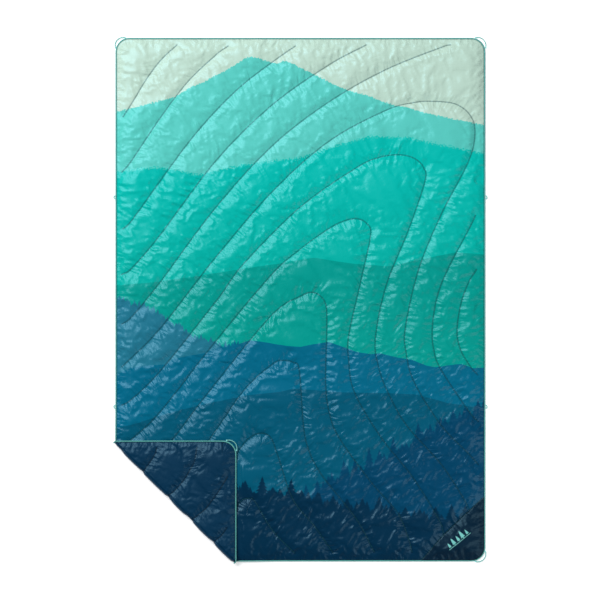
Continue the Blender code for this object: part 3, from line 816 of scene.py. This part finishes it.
def printed_taffeta(colours):
    """Printed nylon taffeta: flat dye, so the hills are crisp tones under the cloth's own satin light."""
    finish, tree, place, colour_cloth = quilted_nylon("printed_nylon_taffeta", colours.teal, 0.29)
    split = add_node(tree, "SeparateXYZ", place).node
    x, y = split.outputs["X"], split.outputs["Y"]
    # Far tree tops: ragged edges with points about 6 mm apart, taller on the second ridge
    ragged = add_node(tree, "TexNoise", place, 170.0, 2.0, 0.6)
    high = add_node(tree, "Math", add_node(tree, "MapRange", ragged, 0.25, 0.75, -0.005, 0.005), y,
                    operation="ADD")
    lower = add_node(tree, "Math", add_node(tree, "MapRange", ragged, 0.25, 0.75, -0.012, 0.012), y,
                     operation="ADD")
    layers = []
    for points, edge in ((SKY_RIDGE, high), (SECOND_RIDGE, lower), (THIRD_RIDGE, y), (LAKE_RIDGE, y),
                         (HAZE_RIDGE, y), (FAR_SHORE, y), (FOREST_FLOOR, y), (NEAR_FLOOR, y)):
        ground = ridge_line(tree, x, points)
        layers.append([ground, add_node(tree, "Math", edge, ground, operation="LESS_THAN")])
    # Rows of trees, by layer: spacing and greatest height in metres
    rows = {3: ((0.017, 0.026), (0.011, 0.018)),
            6: ((0.044, 0.085), (0.027, 0.055), (0.016, 0.030)),
            7: ((0.052, 0.075), (0.034, 0.050), (0.019, 0.030))}
    number = 0
    for layer, kinds in rows.items():
        ground, mask = layers[layer]
        for pitch, tallest in kinds:
            number += 1
            row = conifers(tree, x, y, ground, pitch, tallest, number)
            if layer == 3:  # the far shore is bare to the right
                bare = add_node(tree, "Math", x, -0.22, operation="LESS_THAN")
                row = add_node(tree, "Math", row, bare, operation="MULTIPLY")
            mask = add_node(tree, "Math", mask, row, operation="MAXIMUM")
        layers[layer][1] = mask
    layers[4][1] = add_node(tree, "Math", layers[3][1], layers[4][1], operation="MULTIPLY")
    deepen = add_node(tree, "MapRange", y, 0.50, 0.10, 0.0, 1.0)
    middle_teal = add_node(tree, "Mix", deepen, tuple(colours.teal), tuple(colours.deep_teal),
                           data_type="RGBA")
    tones = (colours.light_teal, middle_teal, colours.green_teal, colours.steel_blue, colours.blue,
             colours.deep_blue, colours.forest, colours.dark_forest)
    dyed = tuple(colours.sky)
    for (ground, mask), tone in zip(layers, tones):
        tone = tone if isinstance(tone, bpy.types.NodeSocket) else tuple(tone)
        dyed = add_node(tree, "Mix", mask, dyed, tone, data_type="RGBA")
    colour_cloth(dyed)
    return finish


def plain_taffeta(name, colour, roughness):
    """Piece-dyed nylon taffeta: one deep tone, a little paler where the dye took less."""
    finish, tree, place, colour_cloth = quilted_nylon(name, colour, roughness)
    uneven = add_node(tree, "TexNoise", place, 9.0, 4.0)
    paler = shaded(colour, 1.3, 0.001)
    colour_cloth(add_node(tree, "Mix", uneven, tuple(colour), paler, data_type="RGBA"))
    return finish


# ---- Finishes: piping, cord, thread, mark and floor ----

def grosgrain_tape(colour):
    """Polyester grosgrain piping tape: ribs straight across it, matt in the grooves, brighter on the ribs, with
    painted shade in the grooves.
    """
    finish, tree, shader = new_finish("grosgrain_piping_tape", colour, 0.55)
    shader.inputs["Sheen Weight"].default_value = 0.15
    place = add_node(tree, "UVMap", uv_map="cord_place")
    split = add_node(tree, "SeparateXYZ", place).node
    # Ribs 0.5 mm apart in the real tape, drawn 1.6 mm apart so that they show
    ribs = add_node(tree, "Math", add_node(tree, "Math", split.outputs["Y"], 2 * math.pi / 0.0016,
                                           operation="MULTIPLY"), operation="SINE")
    tight = add_node(tree, "TexNoise", place, 90.0, 3.0)
    height = add_node(tree, "Math", ribs, tight, operation="ADD")
    tree.links.new(add_node(tree, "Bump", 0.7, 0.00025, None, height), shader.inputs["Normal"])
    # Painted shade: the colour darkens to 0.62 of itself in the grooves between the ribs
    deep = shaded(colour, 0.62)
    level = add_node(tree, "MapRange", height, -0.6, 1.4, 0.0, 1.0)
    tree.links.new(add_node(tree, "Mix", level, deep, tuple(colour), data_type="RGBA"),
                   shader.inputs["Base Color"])
    return finish


def braided_cord(colour):
    """Braided polyester cord, eight plaits round: small diamonds that catch the light one by one, with painted
    shade in the hollows between them.
    """
    finish, tree, shader = new_finish("braided_polyester_cord", colour, 0.5)
    shader.inputs["Sheen Weight"].default_value = 0.2
    split = add_node(tree, "SeparateXYZ", add_node(tree, "UVMap", uv_map="cord_place")).node
    round_place = add_node(tree, "Math", split.outputs["X"], 4 / CORD_RADIUS, operation="MULTIPLY")
    long_place = add_node(tree, "Math", split.outputs["Y"], 2 * math.pi / 0.0030, operation="MULTIPLY")
    plaits = [add_node(tree, "Math", add_node(tree, "Math", round_place, long_place, operation=kind),
                       operation="SINE") for kind in ("ADD", "SUBTRACT")]
    height = add_node(tree, "Math", *plaits, operation="MULTIPLY")
    tree.links.new(add_node(tree, "Bump", 0.8, 0.0004, None, height), shader.inputs["Normal"])
    # Painted shade: the colour darkens to half in the hollows between the plaits
    deep = shaded(colour, 0.5)
    level = add_node(tree, "MapRange", height, -0.8, 0.5, 0.0, 1.0)
    tree.links.new(add_node(tree, "Mix", level, deep, tuple(colour), data_type="RGBA"),
                   shader.inputs["Base Color"])
    return finish


def spun_thread(name, colour):
    """Bonded polyester thread: three plies twisted together, slightly glossy, with a painted highlight that
    makes the colour paler on the crests of the plies.
    """
    finish, tree, shader = new_finish(name, colour, 0.42)
    place = add_node(tree, "TexCoord").node.outputs["Object"]
    plies = add_node(tree, "TexWave", place, 260.0, 1.5, 1.0, wave_type="BANDS", bands_direction="DIAGONAL")
    plies = plies.node.outputs["Fac"]
    tree.links.new(add_node(tree, "Bump", 0.6, 0.00012, None, plies), shader.inputs["Normal"])
    # Painted highlight: the colour is paler on the crests of the plies
    paler = shaded(colour, 1.5, 0.003)
    tree.links.new(add_node(tree, "Mix", plies, tuple(colour), paler, data_type="RGBA"),
                   shader.inputs["Base Color"])
    return finish


def transfer_print(colour):
    """Rubbery heat-transfer print: matt, evenly coloured, with the cloth's ribs just showing through."""
    finish, tree, shader = new_finish("heat_transfer_print", colour, 0.6)
    place = add_node(tree, "TexCoord").node.outputs["Object"]
    grain = add_node(tree, "TexNoise", place, 420.0, 2.0)
    tree.links.new(add_node(tree, "Bump", 0.5, 0.0002, None, grain), shader.inputs["Normal"])
    deep = shaded(colour, 0.8)
    tree.links.new(add_node(tree, "Mix", grain, deep, tuple(colour), data_type="RGBA"),
                   shader.inputs["Base Color"])
    return finish


def lit_paper(colour, glow):
    """White paper sweep lit from behind: nearly shadowless, with a faint fibre mottle."""
    finish, tree, shader = new_finish("backlit_white_paper", colour, 0.9)
    place = add_node(tree, "TexCoord").node.outputs["Object"]
    fibres = add_node(tree, "TexNoise", place, 60.0, 4.0)
    deep = shaded(colour, 0.97)
    tree.links.new(add_node(tree, "Mix", fibres, deep, tuple(colour), data_type="RGBA"),
                   shader.inputs["Base Color"])
    shader.inputs["Emission Color"].default_value = tuple(colour)
    shader.inputs["Emission Strength"].default_value = glow
    return finish


# ---- Settings ----

def colour_setting(name, code, description):
    """A dye that a user can change."""
    return FloatVectorProperty(name=name, description=description, default=linear(code), size=4, min=0, max=1,
                               subtype="COLOR")


class BlanketSizes(bpy.types.PropertyGroup):
    """Sizes and tensions of the quilt's making."""
    face_step: FloatProperty(
        name="Face mesh step", description="Distance between mesh points on the face cloth",
        default=0.0048, min=0.003, max=0.02, unit="LENGTH")
    fullness: FloatProperty(
        name="Cloth fullness", description="How much fuller the cloth is than its seams",
        default=0.034, min=0.0, max=0.1, subtype="FACTOR")
    pressure: FloatProperty(
        name="Fill pressure", description="How hard the fill presses the cloth out",
        default=2.2, min=0, max=10)
    face_thread: FloatProperty(
        name="Face thread radius", description="Radius of the needle thread; a real one is 0.15 mm",
        default=0.0005, min=0.0001, max=0.001, unit="LENGTH")
    back_thread: FloatProperty(
        name="Back thread radius", description="Radius of the bobbin thread; a real one is 0.15 mm",
        default=0.00045, min=0.0001, max=0.001, unit="LENGTH")


class BlanketColours(bpy.types.PropertyGroup):
    """Dyes of the print, the cloths and the trims."""
    sky: colour_setting("Sky", "#c4e2d2", "Sky at the head of the print")
    light_teal: colour_setting("Light teal", "#5dd2c7", "Farthest hill")
    teal: colour_setting("Teal", "#00c4b8", "Second hill, at its top")
    deep_teal: colour_setting("Deep teal", "#00b8ab", "Second hill, at its foot")
    green_teal: colour_setting("Green teal", "#00a296", "Third hill")
    steel_blue: colour_setting("Steel blue", "#237a94", "Haze over the lake")
    blue: colour_setting("Blue", "#006d8e", "Lake")
    deep_blue: colour_setting("Deep blue", "#005c79", "Near water")
    forest: colour_setting("Forest", "#00466a", "Middle forest")
    dark_forest: colour_setting("Dark forest", "#002f4c", "Nearest forest")
    patch: colour_setting("Patch", "#001c31", "Corner patch")
    back: colour_setting("Back", "#002d4a", "Back cloth")
    piping: colour_setting("Piping", "#62c2bb", "Piping tape")
    loop: colour_setting("Loops", "#86e2da", "Loop cord")
    mark: colour_setting("Mark", "#7fdbd5", "Mark on the patch")
    face_thread: colour_setting("Face thread", "#0a6a72", "Needle thread")
    back_thread: colour_setting("Back thread", "#04283b", "Bobbin thread")


class BlanketStudio(bpy.types.PropertyGroup):
    """Light and floor of the studio."""
    key: FloatProperty(name="Key light", description="Power of the large light at the upper left",
                       default=540, min=0, unit="POWER")
    fill: FloatProperty(name="Fill light", description="Power of the light at the lower right",
                        default=40, min=0, unit="POWER")
    sky_light: FloatProperty(name="Room light", description="Strength of the light all round",
                             default=0.12, min=0)
    floor_glow: FloatProperty(name="Floor glow", description="Strength of the light under the paper floor",
                              default=0.45, min=0)


# ---- Pieces ----

def thread_nodes(prefix, numbers):
    """Names of the frame nodes of a set of threads."""
    return [f"{prefix}_{number:02d}" for number in numbers]


class BLANKET_OT_stage(bpy.types.Operator):
    """Sets up the paper floor, the lights and the camera straight above the blanket"""
    bl_idname = "blanket.stage"
    bl_label = "Studio"

    def execute(self, context):
        studio = context.scene.blanket_studio
        bpy.ops.mesh.primitive_plane_add(size=30, location=(0, 0, 0))
        floor = context.object
        floor.name = "studio_floor"
        for vertex in floor.data.vertices:
            vertex.co.z = -0.001
        floor.data.materials.append(lit_paper(linear("#fafafa"), studio.floor_glow))
        floor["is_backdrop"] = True
        camera = bpy.data.objects.new("camera", bpy.data.cameras.new("camera"))
        context.scene.collection.objects.link(camera)
        camera.location = (-0.0014, -0.0014, 7.0)
        camera.data.sensor_width = 36
        camera.data.lens = 36 * 7.0 / 2.141  # 2.141 m of floor fills the frame
        context.scene.camera = camera
        for name, place, size, power in (("key_light", (-3.1, 3.3, 5.8), 4.8, studio.key),
                                         ("fill_light", (2.6, -2.0, 2.6), 2.5, studio.fill)):
            light = bpy.data.objects.new(name, bpy.data.lights.new(name, "AREA"))
            context.scene.collection.objects.link(light)
            light.location = place
            light.data.size = size
            light.data.energy = power
            light.rotation_euler = (-light.location).to_track_quat("-Z", "Y").to_euler()
        context.scene.view_settings.view_transform = "Standard"  # shows each dye as its own sRGB colour
        world = bpy.data.worlds.new("studio_room")
        context.scene.world = world
        world.use_nodes = True
        room = world.node_tree.nodes["Background"]
        room.inputs["Color"].default_value = linear("#f4f8ff")
        room.inputs["Strength"].default_value = studio.sky_light
        return {"FINISHED"}


class BLANKET_OT_panels(bpy.types.Operator):
    """Plans, puffs and closes the main panel and the turned corner"""
    bl_idname = "blanket.panels"
    bl_label = "Quilted panels"

    def execute(self, context):
        step = context.scene.blanket_sizes.face_step
        colours = context.scene.blanket_colours
        finishes = (printed_taffeta(colours), plain_taffeta("navy_nylon_taffeta", colours.back, 0.38))
        BUILT["back_finish"] = finishes[1]
        limit = FOLD_LEVEL - CORNER_CLEARANCE
        for side, prefix, body, level, steps, seed in (
                (1, "", "main_panel", RIM_LEVEL, (step, 2 * step, 0.0105), 6),
                (-1, "corner_", "turned_corner", CORNER_RIM_LEVEL, (0.85 * step, 0.85 * step, 0.007), 4)):
            sheets, parts = panel(side, level, *steps, seed)
            heights = sheets["face"]["places"][:, 2]
            pressed = under_corner(sheets["face"]["plan"]["flat"]) > 0 if side > 0 else slice(None)
            heights[pressed] = limit - soft_floor(limit - heights[pressed], 0.0)
            for sheet in sheets.values():
                sheet["laid"] = sheet["places"]
                if side < 0:
                    sheet["places"] = turned(sheet["places"])
            BUILT[prefix + "panel"] = {"sheets": sheets, "parts": parts}
            nodes = [prefix + node for node in ("face_cloth", "insulation", "back_cloth")]
            quilt = finish_piece(quilt_piece(prefix + "quilt", sheets), body, finishes, nodes)
        return {"FINISHED"}


class BLANKET_OT_patch(bpy.types.Operator):
    """Lays the dark patch over the lower right corner, with a row of small pines printed on it"""
    bl_idname = "blanket.patch"
    bl_label = "Corner patch"

    def execute(self, context):
        colours = context.scene.blanket_colours
        face = BUILT["panel"]["sheets"]["face"]
        faces, flat = face["plan"]["faces"], face["plan"]["flat"]
        edge = smooth_line(PATCH_EDGE, 0.003)
        centres = flat[faces].mean(axis=1)
        below = centres[:, 1] < np.interp(centres[:, 0], edge[:, 0], edge[:, 1])
        inside = below & (centres[:, 0] > edge[0, 0])
        if not inside.any():
            raise RuntimeError("the face has no cloth beyond the patch's edge")
        used, faces = np.unique(faces[inside], return_inverse=True)
        places = face["places"][used] + (0, 0, 0.0006)
        mesh = mesh_from("corner_patch_cloth", places, faces.reshape(-1, 3).tolist())
        add_flat_uv(mesh, flat[used])
        add_seam_values(mesh, [values[used] for values in face["seam_data"]])
        patch = bpy.data.objects.new("corner_patch_cloth", mesh)
        finish = plain_taffeta("dark_nylon_taffeta", colours.patch, 0.38)
        finish_piece(patch, "main_panel", (finish,), ["corner_patch"])
        thicken(patch, "cloth thickness")
        self.print_mark(face, colours.mark)
        return {"FINISHED"}

    def print_mark(self, face, colour):
        """A row of pines on a ground line, slanting up along the patch's edge."""
        start, slope = np.array([0.528, -0.886]), math.radians(39)
        along = np.array([math.cos(slope), math.sin(slope)])
        up = np.array([-along[1], along[0]])
        places, faces = [], []
        trees = ((0.008, 0.017), (0.027, 0.024), (0.047, 0.020), (0.066, 0.027), (0.086, 0.018))
        for across, height in trees:
            self.add_shape(start + across * along, along, up, pine_outline(height), places, faces)
        ground = [(-0.002, -0.0062), (0.096, -0.0062), (0.096, -0.0042), (-0.002, -0.0042)]
        self.add_shape(start, along, up, ground, places, faces)
        flat = np.array(places)
        heights = [weights @ face["places"][hits, 2] for hits, weights in
                   near_points(face["plan"]["flat"], flat, 4)]
        mesh = mesh_from("patch_mark", np.column_stack([flat, np.array(heights) + 0.0013]), faces)
        mark = bpy.data.objects.new("patch_mark", mesh)
        finish_piece(mark, "main_panel", (transfer_print(colour),))
        thicken(mark, "print thickness")

    def add_shape(self, start, along, up, outline, places, faces):
        """Fills an outline with small triangles, so that it can follow the puffed patch."""
        line = even_line(np.array([*outline, outline[0]]), 0.0025)[:-1]
        low, high = line.min(axis=0), line.max(axis=0)
        inner = [(x, y) for x in np.arange(low[0], high[0], 0.003) for y in np.arange(low[1], high[1], 0.003)]
        loop = list(range(len(line)))
        edges = [(i, (i + 1) % len(line)) for i in loop]
        made = delaunay_2d_cdt([Vector(p) for p in [*line.tolist(), *inner]], edges, [loop], 1, 1e-6)
        used = sorted({index for face in made[2] for index in face})
        base = {old: len(places) + new for new, old in enumerate(used)}
        places += [start + made[0][old][0] * along + made[0][old][1] * up for old in used]
        faces += [[base[index] for index in face] for face in made[2]]


def pine_outline(height):
    """A small pine: a trunk and three widening tiers of branches."""
    right = [(0.06, -0.16), (0.06, 0.0), (0.34, 0.0), (0.17, 0.30), (0.27, 0.30), (0.12, 0.60), (0.19, 0.60),
             (0.0, 1.0)]
    left = [(-x, y) for x, y in right[-2::-1]]
    return [(x * height, y * height) for x, y in right + left]


class BLANKET_OT_stitches(bpy.types.Operator):
    """Sews every quilting seam, with needle thread on the face and bobbin thread on the back"""
    bl_idname = "blanket.stitches"
    bl_label = "Seam stitches"

    def execute(self, context):
        sizes, colours = context.scene.blanket_sizes, context.scene.blanket_colours
        face_finish = spun_thread("bonded_face_thread", colours.face_thread)
        back_finish = spun_thread("bonded_back_thread", colours.back_thread)
        up = np.array([0, 0, 1.0])
        for prefix, body, level, numbers in (("", "main_panel", RIM_LEVEL, range(1, 15)),
                                             ("corner_", "turned_corner", CORNER_RIM_LEVEL, range(9, 13))):
            parts = BUILT[prefix + "panel"]["parts"]
            for layer, node, sign, radius, sides, finish in (
                    ("face", "needle_thread", 1, sizes.face_thread, 5, face_finish),
                    ("back", "bobbin_thread", -1, sizes.back_thread, 4, back_finish)):
                lines = [np.column_stack([part, seam_level(part, level, sign) + sign * 0.4 * radius])
                         for part in parts]
                facing = up * sign
                if prefix:
                    lines, facing = [turned(line) for line in lines], -facing
                stitches = stitch_piece(f"{prefix}{layer}_stitches", lines, radius, sides, facing)
                nodes = thread_nodes(prefix + node, numbers)
                if not prefix and sign > 0:
                    nodes.append("patch_thread")
                finish_piece(stitches, body, (finish,), nodes)
        return {"FINISHED"}


class BLANKET_OT_piping(bpy.types.Operator):
    """Runs the piping round both panels and bends it round the two ends of the fold"""
    bl_idname = "blanket.piping"
    bl_label = "Piping"

    def execute(self, context):
        finish = grosgrain_tape(context.scene.blanket_colours.piping)
        ends = []
        for side, prefix, body, level in ((1, "", "main_panel", RIM_LEVEL),
                                          (-1, "corner_", "turned_corner", CORNER_RIM_LEVEL)):
            flat = rim_line(side, PIPING_RADIUS, 0.008)
            reach = np.arange(len(flat)) * 0.008
            drawn = (value_noise(reach / 0.045, 0 * reach + 3.3, 21 + side) - 0.5) * 0.0008
            drawn *= smooth_step(np.minimum(reach, reach[::-1]) / 0.03)
            heights = np.maximum(middle_level(flat, level) + drawn, PIPING_RADIUS + 0.0001)
            line = np.column_stack([flat, heights])
            if side < 0:
                line = turned(line)
            ends.append((line[0], line[-1]))
            nodes = [prefix + "piping_tape", prefix + "piping_cord"]
            finish_piece(cord_piece(prefix + "piping", [line], PIPING_RADIUS), body,
                         (finish,), nodes)
        outwards = np.array([-1, -1, 0]) / math.sqrt(2)
        for name, lower in (("fold_piping_bottom", ends[0][0]), ("fold_piping_left", ends[0][1])):
            upper = min(ends[1], key=lambda end: np.linalg.norm(end - lower))
            centre, half = (lower + upper) / 2, (upper[2] - lower[2]) / 2
            bend = [centre + half * (math.sin(angle) * np.array([0, 0, 1])
                                     + 0.85 * math.cos(angle) * outwards)
                    for angle in np.linspace(-math.pi / 2, math.pi / 2, 15)]
            bend = np.array([lower - 0.001 * outwards, *bend, upper - 0.001 * outwards])
            piece = cord_piece(name, [bend], PIPING_RADIUS)
            finish_piece(piece, None, (finish,))
            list(lower[:2])
            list(lower[:2])
            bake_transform(piece)
        return {"FINISHED"}


class BLANKET_OT_fold(bpy.types.Operator):
    """Carries the back cloth round the outside of the fold, from the main panel to the turned corner"""
    bl_idname = "blanket.fold"
    bl_label = "Fold roll"

    def execute(self, context):
        back = BUILT["panel"]["sheets"]["back"]
        plan, places = back["plan"], back["laid"]
        loop = plan["loop"]
        on_fold = [i for i in loop if abs(fold_side(plan["flat"][i:i + 1])[0]) < 1e-5]
        on_fold.sort(key=lambda i: plan["flat"][i, 0])
        flat, lows = plan["flat"][on_fold], places[on_fold, 2]
        outwards = np.array([-1, -1]) / math.sqrt(2)
        count, steps = len(on_fold), 12
        half = FOLD_LEVEL - lows
        run = np.linalg.norm(flat - flat[0], axis=1)
        reach = np.minimum(0.012, 0.62 * half) * (0.9 + 0.25 * value_noise(run / 0.05, 0 * run + 2.2, 31))
        rings, cloth = [], []
        for step in range(steps + 1):
            angle = math.pi * (step / steps - 0.5)
            away = 0.0004 + reach * math.cos(angle)
            level = FOLD_LEVEL + half * math.sin(angle)
            rings.append(np.column_stack([flat + away[:, None] * outwards, level]))
            cloth.append(flat + (half * (angle + math.pi / 2) * 0.5)[:, None] * outwards)
        points = np.vstack(rings)
        faces = [[a * count + i, a * count + i + 1, b * count + i + 1, b * count + i]
                 for a in range(steps + 1) for b in [(a + 1) % (steps + 1)] for i in range(count - 1)]
        faces.append([ring * count for ring in range(steps + 1)])
        faces.append([ring * count + count - 1 for ring in range(steps + 1)][::-1])
        mesh = mesh_from("fold_roll", points, faces)
        weld(mesh, 0.000001)
        add_flat_uv(mesh, np.vstack(cloth))
        seams = [smooth_line(line, 0.003) for line in SEAMS]
        seam_data = seam_places(np.vstack([flat] * (steps + 1)), seams)
        add_seam_values(mesh, (*seam_data, 0 * seam_data[0]))
        roll = bpy.data.objects.new("fold_roll", mesh)
        finish_piece(roll, None, (BUILT["back_finish"],))
        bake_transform(roll)
        return {"FINISHED"}


CORNER_LOOP_RADIUS = 0.029
CORNER_LOOP_CENTRE = 0.0316  # from the centre of the corner's rounding, along the diagonal
CORD_CLEARANCE = CORD_RADIUS + 0.0006  # from the outline to the middle of a loop's sewn end
SIDE_LOOP_HALF = 0.00525
SIDE_LOOP_REACH = 0.003
CORNER_LOOPS = {"corner_loop_top_left": (-1, 1), "corner_loop_top_right": (1, 1),
                "corner_loop_bottom_right": (1, -1), "corner_loop_turned": (-1, -1)}
SIDE_LOOPS = {"side_loop_left_upper": (-1, 0.365), "side_loop_left_lower": (-1, -0.382),
              "side_loop_right_upper": (1, 0.365), "side_loop_right_lower": (1, -0.382)}


def corner_loop_path(sx, sy, level):
    """The arc of cord that bridges a rounded corner."""
    outwards = np.array([sx, sy, 0]) / math.sqrt(2)
    along = np.array([-outwards[1], outwards[0], 0])
    centre = np.array([*(np.array([sx, sy]) * (HALF_SIZE - CORNER_RADIUS)), level])
    centre = centre + CORNER_LOOP_CENTRE * outwards
    cosine = ((CORNER_RADIUS + CORD_CLEARANCE)**2 - CORNER_LOOP_CENTRE**2 - CORNER_LOOP_RADIUS**2) / (
        2 * CORNER_LOOP_CENTRE * CORNER_LOOP_RADIUS)
    angles = np.linspace(-1, 1, 33) * math.acos(cosine)
    return np.array([centre + CORNER_LOOP_RADIUS * (math.cos(a) * outwards + math.sin(a) * along)
                     for a in angles])


def side_loop_path(sx, place):
    """The half ellipse of cord that stands out from a long edge."""
    ends = np.array([sx * (HALF_SIZE[0] + CORD_CLEARANCE), place, RIM_LEVEL])
    angles = np.linspace(-0.5, 0.5, 25) * math.pi
    return np.array([ends + (sx * SIDE_LOOP_REACH * math.cos(a), SIDE_LOOP_HALF * math.sin(a), 0)
                     for a in angles])


class BLANKET_OT_loops(bpy.types.Operator):
    """Makes the eight loops of braided cord and the bar tacks that hold their ends"""
    bl_idname = "blanket.loops"
    bl_label = "Cord loops"

    def execute(self, context):
        colours = context.scene.blanket_colours
        cord, thread = braided_cord(colours.loop), spun_thread("bonded_tack_thread", colours.loop)
        paths = {name: corner_loop_path(*place, RIM_LEVEL) for name, place in CORNER_LOOPS.items()}
        paths["corner_loop_turned"] = turned(corner_loop_path(*CORNER_LOOPS["corner_loop_turned"],
                                                              CORNER_RIM_LEVEL))
        paths.update({name: side_loop_path(*place) for name, place in SIDE_LOOPS.items()})
        tacks = {"main_panel": [], "turned_corner": []}
        for name, path in paths.items():
            piece = cord_piece(name + "_cord", [path], CORD_RADIUS)
            finish_piece(piece, name, (cord,), [name])
            body = "turned_corner" if name == "corner_loop_turned" else "main_panel"
            across = (path[-1] - path[0]) / np.linalg.norm(path[-1] - path[0])
            long = 0.0016 if name in SIDE_LOOPS else 0.0024
            for end in (path[0], path[-1]):
                shares = np.linspace(-1, 1, 13)
                tacks[body].append(end + shares[:, None] * long * across)
        swell = 1.08 + 0.10 * np.cos(np.linspace(-1, 1, 13) * 4 * math.pi)
        swell[[0, -1]] = 0.6
        for body, lines in tacks.items():
            name = "corner_bar_tacks" if body == "turned_corner" else "bar_tacks"
            piece = cord_piece(name, lines, CORD_RADIUS, swell)
            finish_piece(piece, body, (thread,))
        return {"FINISHED"}


class BLANKET_PT_panel(bpy.types.Panel):
    """Lists the blanket's pieces in the order they are made"""
    bl_label = "Quilted camp blanket"
    bl_space_type = "VIEW_3D"
    bl_region_type = "UI"
    bl_category = "Blanket"

    def draw(self, context):
        layout = self.layout
        for operator in OPERATORS:
            layout.operator(operator.bl_idname)
        for settings in SETTINGS:
            group, box = getattr(context.scene, settings), layout.box()
            for name in group.__annotations__:
                box.prop(group, name)


SETTINGS = {"blanket_sizes": BlanketSizes, "blanket_colours": BlanketColours, "blanket_studio": BlanketStudio}
OPERATORS = (BLANKET_OT_stage, BLANKET_OT_panels, BLANKET_OT_patch, BLANKET_OT_stitches, BLANKET_OT_piping,
             BLANKET_OT_fold, BLANKET_OT_loops)


def register():
    for kind in (*SETTINGS.values(), *OPERATORS, BLANKET_PT_panel):
        bpy.utils.register_class(kind)
    for name, kind in SETTINGS.items():
        setattr(bpy.types.Scene, name, PointerProperty(type=kind))


def unregister():
    for name in SETTINGS:
        delattr(bpy.types.Scene, name)
    for kind in (BLANKET_PT_panel, *reversed(OPERATORS), *reversed(SETTINGS.values())):
        bpy.utils.unregister_class(kind)


def main():
    register()
    for operator in OPERATORS:
        group, name = operator.bl_idname.split(".")
        getattr(getattr(bpy.ops, group), name)()
    {"cad": CAD_BOX, "visual": [list(corner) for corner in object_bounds()]}


if __name__ == "__main__":
    main()
